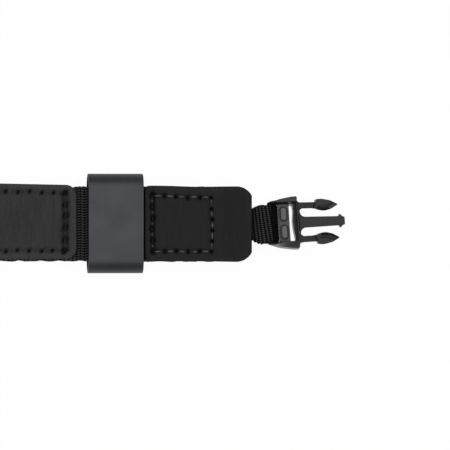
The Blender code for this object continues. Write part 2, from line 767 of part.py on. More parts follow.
def main():
    for item in list(bpy.data.objects):
        bpy.data.objects.remove(item)
    parts = make_collection("camera_wrist_strap")
    cutters = make_collection("strap_cutters")
    looks = {
        "webbing": make_material("woven_webbing", (0.012, 0.012, 0.012), 0.9),
        "leather": make_material("grain_leather", (0.035, 0.035, 0.035), 0.6),
        "tab": make_material("smooth_leather", (0.019, 0.019, 0.019), 0.65),
        "thread": make_material("sewing_thread", (0.010, 0.010, 0.010), 0.8),
        "metal": make_material("anodised_aluminium", (0.070, 0.072, 0.077), 0.45, 0.9),
        "plastic": make_material("acetal_plastic", (0.040, 0.040, 0.041), 0.4),
    }
    make_loop(parts, looks)
    make_sleeve(parts, looks)
    make_tab(parts, looks)
    webbing("buckle_webbing", narrow_stations(), NARROW_THICKNESS, parts, looks["webbing"])
    make_buckle(parts, cutters, looks)


main()
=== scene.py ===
# %% [markdown]
# # A black camera wrist strap
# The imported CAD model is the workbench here: it says where every piece is and how big it may be.
# This lesson dresses it. Woven webbing, sewn leather, an anodised sleeve and a moulded buckle each get
# a mesh and a material of their own, laid exactly where the plain solid lies.

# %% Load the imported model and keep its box
import json
from math import cos, pi, radians, sin

import bmesh
import bpy
import numpy as np
from mathutils import Matrix, Vector


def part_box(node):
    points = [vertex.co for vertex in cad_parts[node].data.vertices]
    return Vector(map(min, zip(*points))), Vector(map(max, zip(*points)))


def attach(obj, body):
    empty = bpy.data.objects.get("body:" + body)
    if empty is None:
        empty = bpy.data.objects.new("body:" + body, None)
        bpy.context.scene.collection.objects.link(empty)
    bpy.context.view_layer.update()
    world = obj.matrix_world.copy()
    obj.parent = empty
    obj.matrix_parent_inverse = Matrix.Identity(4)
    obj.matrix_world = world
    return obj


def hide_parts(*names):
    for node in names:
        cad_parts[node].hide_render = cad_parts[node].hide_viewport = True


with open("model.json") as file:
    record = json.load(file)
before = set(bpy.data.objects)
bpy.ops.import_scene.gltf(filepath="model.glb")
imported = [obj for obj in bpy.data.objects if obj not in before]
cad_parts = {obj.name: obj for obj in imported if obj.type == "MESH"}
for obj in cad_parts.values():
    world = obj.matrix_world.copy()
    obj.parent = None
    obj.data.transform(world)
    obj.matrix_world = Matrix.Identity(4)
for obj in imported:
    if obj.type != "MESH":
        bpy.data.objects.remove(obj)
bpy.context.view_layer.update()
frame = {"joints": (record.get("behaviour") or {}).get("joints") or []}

# %% [markdown]
# All sizes below are in millimetres, as a strap maker would give them, and one factor turns them into
# Blender's metres. The places come from the boxes of the CAD nodes, so nothing has to be fitted by eye.

# %% Sizes read from the frame
MM = 0.001
PAD_REACH = 0.4


def box_mm(node):
    """A CAD node's lowest and highest corner in millimetres."""
    low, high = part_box(node)
    return np.array(low) / MM, np.array(high) / MM


tab_low, tab_high = box_mm("tab_top")
bottom_low = box_mm("tab_bottom")[0]
sleeve_low, sleeve_high = box_mm("sleeve")
pad_low, pad_high = box_mm("wrist_pad")
web_low, web_high = box_mm("loop_webbing")
MIDDLE = (tab_high[2] + bottom_low[2]) / 2
START = tab_low[0]
TAB_LENGTH = tab_high[0] - tab_low[0]
PAD_END = pad_high[0] + PAD_REACH
WEBBING_END = web_high[0]
print(f"middle plane {MIDDLE:.2f}, tab from {START:.2f}, pad ends at {PAD_END:.2f}")

# %% [markdown]
# ## Small tools
# A learner needs only a few helpers. One turns a colour as a picture editor shows it into the linear
# numbers that a shader wants. One adds a node to a material with its settings and its links. Others
# keep the selection tidy, because an operator works on everything that is selected. The last ones take
# up steps that every piece needs: its points, its modifiers, its name and its place in the frame.

# %% Helpers for colour and nodes


def linear(hex_colour):
    """An sRGB colour such as #353535 as linear red, green, blue and alpha."""
    parts = [int(hex_colour[place:place + 2], 16) / 255 for place in (1, 3, 5)]
    return (*[part / 12.92 if part <= 0.04045 else ((part + 0.055) / 1.055) ** 2.4 for part in parts], 1.0)


def new_material(name):
    """A new material and its Principled shader."""
    material = bpy.data.materials.new(name)
    material.use_nodes = True
    return material, material.node_tree.nodes["Principled BSDF"]


def add_node(material, kind, **given):
    """Adds a node with what is given. A name in small letters is a setting. Any other is an input, by its
    name with _ for spaces or as _0 by its place, and takes a constant, a socket or a node's first socket."""
    tree = material.node_tree
    node = tree.nodes.new("ShaderNode" + kind)
    for name, value in given.items():
        if name[0].islower():
            setattr(node, name, value)
            continue
        socket = node.inputs[int(name[1:]) if name[1:].isdigit() else name.replace("_", " ")]
        if isinstance(value, bpy.types.Node):
            value = value.outputs[0]
        if isinstance(value, bpy.types.NodeSocket):
            tree.links.new(value, socket)
        else:
            socket.default_value = value
    return node


def link(material, node, **links):
    """Links the first socket of other nodes into a node's inputs, named as in add_node."""
    for name, other in links.items():
        material.node_tree.links.new(other.outputs[0], node.inputs[name.replace("_", " ")])


def paint_ramp(ramp, *stops):
    """Sets a colour ramp's stops as (place, hex colour)."""
    elements = ramp.color_ramp.elements
    while len(elements) < len(stops):
        elements.new(0.5)
    for element, (place, colour) in zip(elements, stops):
        element.position = place
        element.color = linear(colour)


print("mid grey is", [round(part, 3) for part in linear("#808080")[:3]], "in linear numbers")

# %% Helpers for objects and edit mode


def deselect():
    """Leaves no object selected."""
    bpy.ops.object.select_all(action="DESELECT")


def pick(*items):
    """Makes these the only selected objects, and the first of them the active one."""
    deselect()
    for item in items:
        item.select_set(True)
    bpy.context.view_layer.objects.active = items[0]


def join(items):
    """Joins objects into the first of them."""
    pick(*items)
    bpy.ops.object.join()
    return items[0]


def start_edit(action):
    """Goes into edit mode with everything or nothing selected."""
    bpy.ops.object.mode_set(mode="EDIT")
    bpy.ops.mesh.select_all(action=action)


def close_edit():
    """Turns every face outwards and goes back to object mode."""
    bpy.ops.mesh.select_all(action="SELECT")
    bpy.ops.mesh.normals_make_consistent(inside=False)
    bpy.ops.object.mode_set(mode="OBJECT")


def apply_modifier(item, kind, **settings):
    """Gives the active object a modifier with its settings and applies it at once."""
    modifier = item.modifiers.new(kind.lower(), kind)
    for name, value in settings.items():
        setattr(modifier, name, value)
    bpy.ops.object.modifier_apply(modifier=modifier.name)


print("in", bpy.context.mode.lower(), "mode")

# %% Helpers for points and finished pieces


def points_of(mesh):
    """A mesh's points in metres, one row each."""
    points = np.empty(3 * len(mesh.vertices))
    mesh.vertices.foreach_get("co", points)
    return points.reshape(-1, 3)


def keep(mesh, name, values):
    """Keeps a number for each point as an attribute, which a material can read."""
    mesh.attributes.new(name, "FLOAT", "POINT").data.foreach_set("value", values)


def finish_piece(item, name, material, body, slot, *nodes):
    """Names a finished mesh, gives it its material, and ties it to the frame."""
    item.name = item.data.name = name
    item.data.materials.clear()
    item.data.materials.append(material)
    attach(item, body)
    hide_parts(*nodes)
    size = [(max(side) - min(side)) / MM for side in zip(*[v.co for v in item.data.vertices])]
    print(f"{name}: {len(item.data.polygons)} faces, {size[0]:.1f} x {size[1]:.1f} x {size[2]:.1f} mm")


def smooth(share):
    """Eases numbers from 0 to 1 with level ends."""
    share = np.clip(share, 0.0, 1.0)
    return share * share * (3.0 - 2.0 * share)


print("a quarter of the way is eased to", smooth(0.25))

# %% [markdown]
# ## Camera, table and light
# The photograph looks almost straight down, from a little to the left of the strap, at a white table.
# A long lens from over a metre away keeps the sleeve's sides nearly parallel, as they are there. The
# light is one wide soft panel above and a dimmer room round it. The rounded ends of the sleeve mirror
# the dim room first and then the white table, which gives them a dark band and a pale rim.

# %% The camera
PIXELS = 450
PIXELS_PER_MM = 3.8
DISTANCE = 1.2
TILT = radians(5.6)
AIM = Vector((83.12, -0.4, 7.0)) * MM

camera_data = bpy.data.cameras.new("camera")
camera_data.sensor_width = 36.0
camera_data.lens = camera_data.sensor_width * DISTANCE / (PIXELS / PIXELS_PER_MM * MM)
camera = bpy.data.objects.new("camera", camera_data)
bpy.context.scene.collection.objects.link(camera)
camera.rotation_euler = (0.0, -TILT, 0.0)
camera.location = AIM + DISTANCE * Vector((-sin(TILT), 0.0, cos(TILT)))
bpy.context.scene.camera = camera
print(f"lens {camera_data.lens:.0f} mm, {DISTANCE} m away")

# %% The white table
TABLE_SIZE = 6.0
TABLE_DROP = 0.0001
WHITE = "#FFFFFF"
LIT_SHARE = 0.04

deselect()
bpy.ops.mesh.primitive_plane_add(size=TABLE_SIZE, location=(0.0, 0.0, -TABLE_DROP))
table = bpy.context.object
table.name = "table"
# White seamless paper: a matt sheet, shown as plain white to the eye but keeping the strap's shadow.
paper, shader = new_material("matt_white_paper")
shader.inputs["Base Color"].default_value = linear(WHITE)
shader.inputs["Roughness"].default_value = 0.9
shader.inputs["Specular IOR Level"].default_value = 0.0
light_path = add_node(paper, "LightPath")
seen = add_node(paper, "Math", operation="MAXIMUM",
                _0=light_path.outputs["Is Camera Ray"], _1=light_path.outputs["Is Glossy Ray"])
seen = add_node(paper, "Math", operation="MAXIMUM", _0=seen, _1=light_path.outputs["Is Transmission Ray"])
glow = add_node(paper, "Emission", Color=linear(WHITE), Strength=1.0)
share = add_node(paper, "Math", operation="MULTIPLY", _0=seen, _1=1.0 - LIT_SHARE)
mixed = add_node(paper, "MixShader", _0=share, _1=shader, _2=glow)
link(paper, paper.node_tree.nodes["Material Output"], Surface=mixed)
table.data.materials.append(paper)
print("table of", TABLE_SIZE, "m")

# %% The lamp and the room
LAMP_SIZE = 2.2
LAMP_PLACE = (0.0, 0.25, 1.4)
LAMP_BRIGHTNESS = 1.25
ROOM_BRIGHTNESS = 0.4

lamp_data = bpy.data.lights.new("soft_panel", "AREA")
lamp_data.shape = "SQUARE"
lamp_data.size = LAMP_SIZE
lamp_data.energy = LAMP_BRIGHTNESS * pi * LAMP_SIZE**2
lamp = bpy.data.objects.new("soft_panel", lamp_data)
bpy.context.scene.collection.objects.link(lamp)
lamp.location = LAMP_PLACE
world = bpy.data.worlds.new("room")
bpy.context.scene.world = world
world.use_nodes = True
room = world.node_tree.nodes["Background"]
room.inputs["Color"].default_value = linear(WHITE)
room.inputs["Strength"].default_value = ROOM_BRIGHTNESS
bpy.context.scene.view_settings.view_transform = "Standard"
print(f"lamp {lamp_data.energy:.0f} W over a room at {ROOM_BRIGHTNESS}")

# %% [markdown]
# ## The line that the loop lies along
# The band starts inside the tab, runs back over the top, turns round the wrist end and comes back
# below. Its middle line is drawn once, densely, as seen from the side. Every soft strip is then laid on
# that line by its own distance along it, as cloth is, so a weave or a seam never stretches.

# %% The middle line of the webbing
WEBBING_THICKNESS = 1.2
CAD_DRIFT = 0.4
WEBBING_WIDTH = web_high[1] - web_low[1] - CAD_DRIFT
RUN_HEIGHT = 0.7
TAB_RUN_HEIGHT = 1.9
TAB_RUN_START = START + 4.0
PAD_THICKNESS = 1.3
PAD_LIFT = 1.45
BEND_LENGTH = 61.0
LOOP_RISE = 10.1
LINE_STEP = 0.05


def loop_line():
    """Points (x, z) of the webbing's middle line, from its upper end to its lower end."""
    lowest = PAD_LIFT + PAD_THICKNESS / 2
    top = 2 * MIDDLE + LOOP_RISE - lowest
    radius = (top - lowest) / 2
    centre = np.array([web_low[0] + WEBBING_THICKNESS / 2 + radius, lowest + radius])
    x = np.arange(WEBBING_END, centre[0], -LINE_STEP)
    bend_start = centre[0] + BEND_LENGTH
    rise = smooth((x - PAD_END) / (TAB_RUN_START - PAD_END)) * (TAB_RUN_HEIGHT - RUN_HEIGHT)
    bend = smooth((bend_start - x) / BEND_LENGTH)
    straight_up = MIDDLE + RUN_HEIGHT + rise
    straight_down = MIDDLE - RUN_HEIGHT - rise
    upper = np.stack([x, straight_up + (top - straight_up) * bend], 1)
    lower = np.stack([x, straight_down + (lowest - straight_down) * bend], 1)
    angle = np.linspace(pi / 2, 3 * pi / 2, round(pi * radius / LINE_STEP))
    turn = centre + radius * np.stack([np.cos(angle), np.sin(angle)], 1)
    return np.concatenate([upper, turn, lower[::-1]])


line = loop_line()
line_at = np.concatenate([[0.0], np.cumsum(np.hypot(*np.diff(line, axis=0).T))])
heading = np.gradient(line, axis=0)
heading /= np.hypot(*heading.T)[:, None]
outward = np.stack([heading[:, 1], -heading[:, 0]], 1)
LOOP_LENGTH = line_at[-1]
pad_from = np.interp(-PAD_END, -line[: len(line) // 2, 0], line_at[: len(line) // 2])
pad_to = LOOP_LENGTH - pad_from
print(f"the band is {LOOP_LENGTH:.1f} mm long, the pad {pad_to - pad_from:.1f} mm")


def on_loop(along, across, height):
    """Places in mm at a distance along the line, across it, and outwards from it. Each is an array."""
    x, z, out_x, out_z = [np.interp(along, line_at, part) for part in (*line.T, *outward.T)]
    return np.stack([x + out_x * height, across + 0.0 * x, z + out_z * height], -1)


# %% [markdown]
# ## How a soft strip is made
# A strip of leather or webbing is a flat grid to begin with. Its rows go along the strip, and its
# columns go round it: over the outer face, down the far edge, back over the inner face. The rows are
# close together where stitches press in or a weave shows, and far apart where the strip is plain. Then
# each point is laid on its line. The two columns that meet are merged and the ends are closed. The
# grid's own distances are kept as a UV map in millimetres, so the weave and grain follow the strip.

# %% A grid wrapped into a strip
WELD_GAP = 1e-6
STRIP_CREASE = radians(50)


def graded(*stops):
    """Distances through (place, step) stops, each stretch divided evenly by about its step."""
    places = [stops[0][0]]
    for (start, step), (end, _) in zip(stops, stops[1:]):
        parts = max(1, round((end - start) / step))
        places += [start + (end - start) * (part + 1) / parts for part in range(parts)]
    return np.array(places)


def mirrored(places, ends=0.0):
    """Distances up to a middle, and the same ones mirrored past it. ends is the sum of both ends."""
    return np.concatenate([places, ends - places[-2::-1]])


def strip(name, along, outer, inner, place):
    """A closed strip. place turns (along, across, face) arrays into places in mm and named attributes."""
    across = np.concatenate([outer, inner[::-1], outer[:1]])
    face = np.concatenate([np.ones(len(outer)), -np.ones(len(inner)), [1.0]])
    round_it = np.concatenate([[0.0], np.cumsum(np.abs(np.diff(across)) + np.abs(np.diff(face)))])
    round_it += outer[0]
    deselect()
    bpy.ops.mesh.primitive_grid_add(x_subdivisions=len(along) - 1, y_subdivisions=len(across) - 1, size=2.0)
    item = bpy.context.object
    mesh = item.data
    grid_x, grid_y, _ = points_of(mesh).T
    row = np.rint((grid_x + 1.0) / 2 * (len(along) - 1)).astype(int)
    column = np.rint((grid_y + 1.0) / 2 * (len(across) - 1)).astype(int)
    places, attributes = place(along[row], across[column], face[column])
    mesh.vertices.foreach_set("co", (places * MM).ravel())
    for key, values in attributes.items():
        keep(mesh, key, values)
    corner = np.empty(len(mesh.loops), int)
    mesh.loops.foreach_get("vertex_index", corner)
    mesh.uv_layers[0].name = "lay"
    lay = np.stack([along[row], round_it[column]], 1)[corner]
    mesh.uv_layers["lay"].data.foreach_set("uv", lay.ravel())
    pick(item)
    start_edit("SELECT")
    bpy.ops.mesh.remove_doubles(threshold=WELD_GAP)
    bpy.ops.mesh.fill_holes(sides=0)
    close_edit()
    bpy.ops.object.shade_smooth_by_angle(angle=STRIP_CREASE)
    return item


# %% [markdown]
# ## The wide webbing
# Polyester webbing is woven on a needle loom. Its yarns lie over one another as rows of small slanted
# floats that lean one way and then the other, a herringbone. Where the band is bare, between the pad
# and the tab, the floats are real geometry. Elsewhere the material repeats the same pattern as bump,
# from the same two distances, so the two agree. The edges are rounded and a little scalloped, because
# the weft turns back there and the seam pulls it in.

# %% The herringbone as a height from 0 to 1
WEFT_PITCH = 1.05
WARP_PITCH = 0.68
FLOAT_LEAN = 0.42
WEAVE_DEPTH = 0.34


def herringbone(along, across):
    """The height of the weave at distances in mm."""
    column = along / WEFT_PITCH
    inside = column - np.floor(column)
    lean = (1.0 - 2.0 * (np.floor(column) % 2)) * FLOAT_LEAN
    crest = 0.5 + 0.5 * np.cos(2 * pi * (across / WARP_PITCH + lean * inside))
    return np.sqrt(np.sin(pi * inside)) * crest


def rim_drop(inset, radius):
    """How far a rounded edge lies below its face at a distance inwards from the rim."""
    left = np.clip(1.0 - inset / radius, 0.0, 1.0)
    return radius * (1.0 - np.sqrt(1.0 - left**2))


# %% How the wide webbing lies
SELVEDGE = 0.5
EDGE_PULL = 1.5
EDGE_RIPPLE = 0.05
SCALLOP_PITCH = 5.3
SCALLOP = 0.24
NOTCH_WIDTH = 0.9
NOTCH_AT = 29.2
FADE = 2.0
MEAN_WEAVE = 0.7
FLAT_EDGE = 0.4
RUN_DRIFT = 0.25
RUN_DRIFT_LENGTH = 20.0
TAB_DRIFT = 0.14
TAB_DRIFT_START = 30.0
TAB_DRIFT_LENGTH = 8.0
half = WEBBING_WIDTH / 2


def webbing_place(along, across, face):
    """The webbing on its line: scalloped edges, real floats where it is bare, and a small drift aside."""
    edge = smooth((np.abs(across) - half + EDGE_PULL) / EDGE_PULL)
    past = (along - LOOP_LENGTH + WEBBING_END - NOTCH_AT) / SCALLOP_PITCH
    notch = np.exp(-((past - np.rint(past)) * SCALLOP_PITCH / NOTCH_WIDTH) ** 2)
    scallop = EDGE_RIPPLE * np.sin(2 * pi * along / WEFT_PITCH) - SCALLOP * notch
    wide = across + np.sign(across) * scallop * edge
    bare = smooth((pad_from + FADE - along) / FADE) + smooth((along - pad_to + FADE) / FADE)
    inset = half - np.abs(across)
    relief = WEAVE_DEPTH * (herringbone(along, across) - MEAN_WEAVE) * bare * smooth(inset / FLAT_EDGE)
    height = face * (WEBBING_THICKNESS / 2 - rim_drop(inset, SELVEDGE)) + (face > 0) * relief
    places = on_loop(along, wide, height)
    places[:, 1] -= RUN_DRIFT * smooth((along - LOOP_LENGTH / 2) / RUN_DRIFT_LENGTH + 0.5)
    places[:, 1] -= TAB_DRIFT * smooth((along - LOOP_LENGTH + TAB_DRIFT_START) / TAB_DRIFT_LENGTH)
    return places, {}


# %% The wide webbing, with its rows closest where it is bare
TURN_FROM = 14.0
BEND_FROM = 62.0

bare_from, bare_to = WEBBING_END - START - 2.0, pad_from + 1.5
turn = LOOP_LENGTH / 2
upper = graded((0.0, 2.0), (bare_from, 0.175), (bare_to, 2.0), (turn - BEND_FROM, 1.0),
               (turn - TURN_FROM, 0.5), (turn, 0.5))
lower = graded((turn, 0.5), (turn + TURN_FROM, 1.0), (turn + BEND_FROM, 0.8), (LOOP_LENGTH - bare_to, 0.35),
               (LOOP_LENGTH - bare_from, 0.8), (LOOP_LENGTH, 0.8))
along = np.concatenate([upper, lower[1:]])
outer = np.concatenate([[-half, -half + 0.03, -half + 0.1, -half + 0.2],
                        graded((0.33 - half, 0.136), (half - 0.33, 0.1)),
                        [half - 0.2, half - 0.1, half - 0.03, half]])
inner = np.array([-half, 0.1 - half, 0.35 - half, -half / 2, 0.0, half / 2, half - 0.35, half - 0.1, half])
webbing = strip("loop_webbing", along, outer, inner, webbing_place)
print(len(along), "rows of", len(outer) + len(inner))

# %% [markdown]
# ## Webbing material: woven polyester
# Polyester filament yarn, dyed black in the melt. A yarn's round back catches a soft light, and the gaps
# between the yarns are much darker; the colour paints that in, the crests taking the yarn's colour and the
# gaps a painted shade. The nodes repeat the herringbone of the mesh from the same UV
# distances: which column a point is in, how far into it, and how the floats lean there.

# %% Black polyester webbing
GAP_SHADE = "#030303"
YARN_BLACK = "#444445"
YARN_RELIEF = 0.1
BROAD_YARN = 0.5


def webbing_material(name, yarn_black, weft_pitch, warp_pitch, lean, depth, fullness, skew=0.0):
    """Woven polyester. Its floats repeat every weft_pitch along and warp_pitch across, in mm. A small
    fullness makes broad yarns with thin gaps, a large one thin ribs. The ribs may run askew by a share
    of the distance across. The gaps between yarns get a painted shade, and where the band turns out of the light, a
    painted shade makes its black deeper."""
    material, shader = new_material(name)
    lay = add_node(material, "UVMap", uv_map="lay")
    at = add_node(material, "SeparateXYZ", Vector=lay)
    askew = add_node(material, "Math", operation="MULTIPLY_ADD", _0=at.outputs[1], _1=skew, _2=at)
    column = add_node(material, "Math", operation="DIVIDE", _0=askew, _1=weft_pitch)
    inside = add_node(material, "Math", operation="FRACT", _0=column)
    zigzag = add_node(material, "Math", operation="PINGPONG", _0=column, _1=1.0)
    leaning = add_node(material, "Math", operation="MULTIPLY", _0=zigzag, _1=lean)
    yarn = add_node(material, "Math", operation="DIVIDE", _0=at.outputs[1], _1=warp_pitch)
    phase = add_node(material, "Math", operation="ADD", _0=yarn, _1=leaning)
    turns = add_node(material, "Math", operation="MULTIPLY", _0=phase, _1=2 * pi)
    wave = add_node(material, "Math", operation="COSINE", _0=turns)
    crest = add_node(material, "MapRange", _0=wave, _1=-1.0, _2=1.0)
    half_turn = add_node(material, "Math", operation="MULTIPLY", _0=inside, _1=pi)
    dome = add_node(material, "Math", operation="SINE", _0=half_turn)
    back = add_node(material, "Math", operation="POWER", _0=dome, _1=fullness)
    height = add_node(material, "Math", operation="MULTIPLY", _0=back, _1=crest)
    fuzz = add_node(material, "TexNoise", Vector=lay, Scale=3.0, Detail=3.0)
    uneven = add_node(material, "MapRange", _0=fuzz, _1=0.3, _2=0.7, _3=0.75, _4=1.15)
    shade = add_node(material, "Math", operation="MULTIPLY", _0=height, _1=uneven)
    # Painted shade: the colour is darkened where an attribute marks the band as out of the light.
    painted_shade = add_node(material, "Attribute", attribute_name="painted_shade")
    lit = add_node(material, "MapRange", _0=painted_shade.outputs["Fac"], _3=1.0, _4=0.0)
    shown = add_node(material, "Math", operation="MULTIPLY", _0=shade, _1=lit)
    # Painted shade: the colour falls from the yarn's colour on the crests to a near black in the gaps between yarns.
    colour = add_node(material, "ValToRGB", _0=shown)
    paint_ramp(colour, (0.1, GAP_SHADE), (0.85, yarn_black))
    bump = add_node(material, "Bump", Height=height, Strength=1.0, Distance=depth * MM)
    link(material, shader, Base_Color=colour, Normal=bump)
    shader.inputs["Roughness"].default_value = 0.62
    shader.inputs["Specular IOR Level"].default_value = 0.06
    shader.inputs["Sheen Weight"].default_value = 0.03
    shader.inputs["Sheen Roughness"].default_value = 0.4
    return material


polyester = webbing_material("woven_polyester_webbing", YARN_BLACK, WEFT_PITCH, WARP_PITCH, FLOAT_LEAN,
                             YARN_RELIEF, BROAD_YARN)
finish_piece(webbing, "wide_webbing", polyester, "strap", "webbing", "loop_webbing")

# %% [markdown]
# ## The wrist pad
# The pad is embossed cowhide, cut with rounded corners and sewn down along its whole rim. A sewn
# leather is never flat. The seam pulls a valley into it, each needle hole a dimple, and the field inside
# swells a little. These forms are modelled, and the grain and some painted light and shade are left to the material.
# The distance from the rim and from the seam, and the hole dimples, are kept as attributes, so that the
# material can paint the margin along the rims paler, as painted light, and paint shade into the seam's valley and the
# holes.

# %% Distances on the pad
PAD_CORNER = 2.9
PAD_SIDE_MARGIN = 2.1
PAD_END_MARGIN = 3.0
PAD_FLARE = 0.75
FLARE_LENGTH = 38.0
STITCH_PITCH = 3.1
pad_side_low = pad_low[1]
pad_side_high = pad_high[1] - PAD_FLARE


def inset_in(to_end, to_side, corner):
    """The distance inwards from the rim of a shape with rounded corners."""
    at_corner = (to_end < corner) & (to_side < corner)
    round_corner = corner - np.hypot(corner - to_end, corner - to_side)
    return np.where(at_corner, round_corner, np.minimum(to_end, to_side))


def pad_sides(to_end):
    """The pad's lower and upper edge at a distance from its nearer end."""
    return pad_side_low, pad_side_high + PAD_FLARE * np.clip(to_end / FLARE_LENGTH, 0.0, 1.0)


# %% Where the needle went through the pad
rng = np.random.default_rng(7)
HOLE_WANDER = 0.12
END_STITCHES = 5


def pad_holes():
    """The holes as (along, across), in order round the seam from the upper end."""
    first, last = pad_from + PAD_END_MARGIN, pad_to - PAD_END_MARGIN
    row = np.linspace(first, last, round((last - first) / STITCH_PITCH) + 1)
    low, high = pad_sides(np.minimum(row - pad_from, pad_to - row))
    top = np.stack([row, high - PAD_SIDE_MARGIN], 1)
    bottom = np.stack([row, low + PAD_SIDE_MARGIN + 0.0 * row], 1)
    across = np.linspace(bottom[0, 1], top[0, 1], END_STITCHES + 1)[1:-1]
    end = np.stack([np.full(len(across), last), across[::-1]], 1)
    start = np.stack([np.full(len(across), first), across], 1)
    holes = np.concatenate([top, end, bottom[::-1], start])
    return holes + rng.normal(0.0, HOLE_WANDER, holes.shape)


holes = pad_holes()
print(len(holes), "holes round the pad")

# %% The dimple that each hole leaves
SLOT = 0.6


def hole_dimples(along, across, holes, radii, lean):
    """1 in the middle of a needle hole and 0 away from it. The needle's blade leaves a leaning slot."""
    depth = np.zeros(len(along))
    for (hole_along, hole_across), radius in zip(holes, radii):
        u, v = along - hole_along, across - hole_across
        near = np.flatnonzero((np.abs(u) < 3 * radius) & (np.abs(v) < 3 * radius))
        u, v = u[near] - lean * v[near], v[near]
        depth[near] = np.maximum(depth[near], np.exp(-(u**2 + SLOT * v**2) / radius**2))
    return depth


# %% How the pad lies
PAD_EDGE = 0.42
PAD_UNDER_EDGE = 0.15
SEAM_CORNER = 0.4
VALLEY_WIDTH = 0.6
END_VALLEY_WIDER = 0.22
VALLEY_DEPTH = 0.2
END_VALLEY_DEPTH = 0.5
HOLE_RADIUS = 0.36
END_HOLE_RADIUS = 0.57
PAD_END_WIDER = 0.1
HOLE_DEPTH = 0.65
DEEPEST = -1.05
HOLE_LEAN = -0.45
CROWN = 0.1
CROWN_REACH = 5.0
pad_half = (pad_high[1] - pad_low[1]) / 2
at_the_end = np.minimum(holes[:, 0] - pad_from, pad_to - holes[:, 0]) < PAD_END_MARGIN + 0.6
pad_radii = np.where(at_the_end, END_HOLE_RADIUS + PAD_END_WIDER, HOLE_RADIUS)


def pad_place(along, across, face):
    """The pad on its line: rounded corners, a valley along the seam, dimples at the holes and a slight swell."""
    to_end = np.minimum(along - pad_from, pad_to - along)
    low, high = pad_sides(to_end)
    near = np.clip(PAD_CORNER - to_end, 0.0, PAD_CORNER)
    trim = PAD_CORNER - np.sqrt(PAD_CORNER**2 - near**2)
    y = (low + high) / 2 + across / pad_half * ((high - low) / 2 - trim)
    to_side = np.minimum(y - low, high - y)
    rim = inset_in(to_end, to_side, PAD_CORNER)
    seam = inset_in(to_end - PAD_END_MARGIN, to_side - PAD_SIDE_MARGIN, SEAM_CORNER)
    hole = hole_dimples(along, y, holes, pad_radii, HOLE_LEAN)
    swell = 0.02 * np.sin(along / 2.3 + 1.7 * np.sin(y / 3.1)) + 0.015 * np.sin(y / 1.9 + along / 5.0)
    at_end = smooth((to_side - PAD_SIDE_MARGIN) / 0.8 + 0.5) * smooth((4.5 - to_end) / 1.0)
    valley = np.exp(-(seam / (VALLEY_WIDTH + END_VALLEY_WIDER * at_end)) ** 2)
    depth = VALLEY_DEPTH + (END_VALLEY_DEPTH - VALLEY_DEPTH) * at_end
    relief = CROWN * smooth(seam / CROWN_REACH) - depth * valley - HOLE_DEPTH * hole + swell * smooth(rim / 2.0)
    outer_face = PAD_THICKNESS / 2 - rim_drop(rim, PAD_EDGE) + np.maximum(relief, DEEPEST)
    inner_face = rim_drop(rim, PAD_UNDER_EDGE) - PAD_THICKNESS / 2
    places = on_loop(along, y, PAD_LIFT + np.where(face > 0, outer_face, inner_face))
    # The groove and hole attributes carry a painted shade into the seam's valley and the needle holes.
    return places, {"rim": rim, "groove_shade": valley * depth / END_VALLEY_DEPTH, "hole": hole * (face > 0)}


# %% The pad, with its rows closest at the rim and the seam
INNER_SHARES = np.array([-1.0, -0.98, -0.5, 0.0, 0.5, 0.98, 1.0])

along = mirrored(graded((pad_from, 0.04), (pad_from + 0.08, 0.1), (pad_from + 0.5, 0.2), (pad_from + 4.0, 0.3),
                        (pad_from + 24.0, 0.52), ((pad_from + pad_to) / 2, 0.5)), pad_from + pad_to)
outer = mirrored(graded((-pad_half, 0.04), (0.08 - pad_half, 0.1), (0.5 - pad_half, 0.19), (3.3 - pad_half, 0.5),
                        (0.0, 0.5)))
pad = strip("wrist_pad", along, outer, pad_half * INNER_SHARES, pad_place)
print(len(along), "rows of", len(outer) + len(INNER_SHARES))

# %% [markdown]
# ## Stitches
# A saddle-like seam shows as short dashes of thread, each diving into a hole at both ends. One stitch is
# modelled from a sphere: its two halves are pulled apart, the middle is given a row of its own, and the
# ends are pushed down. Every other stitch is a copy with its own mesh, stretched between its two holes.

# %% One stitch, modelled once
THREAD_RADIUS = 0.29
STITCH_HALF = 1.0
SPREAD = 0.75
DIVE = 0.7
THREAD_SINK = 0.3
PLUNGE = 1.25

deselect()
bpy.ops.mesh.primitive_uv_sphere_add(segments=6, ring_count=6, radius=THREAD_RADIUS * MM,
                                     rotation=(0.0, pi / 2, 0.0))
bpy.ops.object.transform_apply(rotation=True)
stitch = bpy.context.object
for side in (-1, 1):
    start_edit("DESELECT")
    bpy.ops.object.mode_set(mode="OBJECT")
    for vertex in stitch.data.vertices:
        vertex.select = vertex.co.x * side > 0.1 * THREAD_RADIUS * MM
    bpy.ops.object.mode_set(mode="EDIT")
    bpy.ops.transform.translate(value=(side * STITCH_HALF * SPREAD * MM, 0.0, 0.0))
    bpy.ops.object.mode_set(mode="OBJECT")
dives = [0.0] * len(stitch.data.vertices)
for vertex in stitch.data.vertices:
    share = abs(vertex.co.x) / (STITCH_HALF * MM)
    vertex.co.z -= DIVE * MM * min(share, 1.0) ** 3
    dives[vertex.index] = share
keep(stitch.data, "dive", dives)
print(len(stitch.data.polygons), "faces in one stitch")


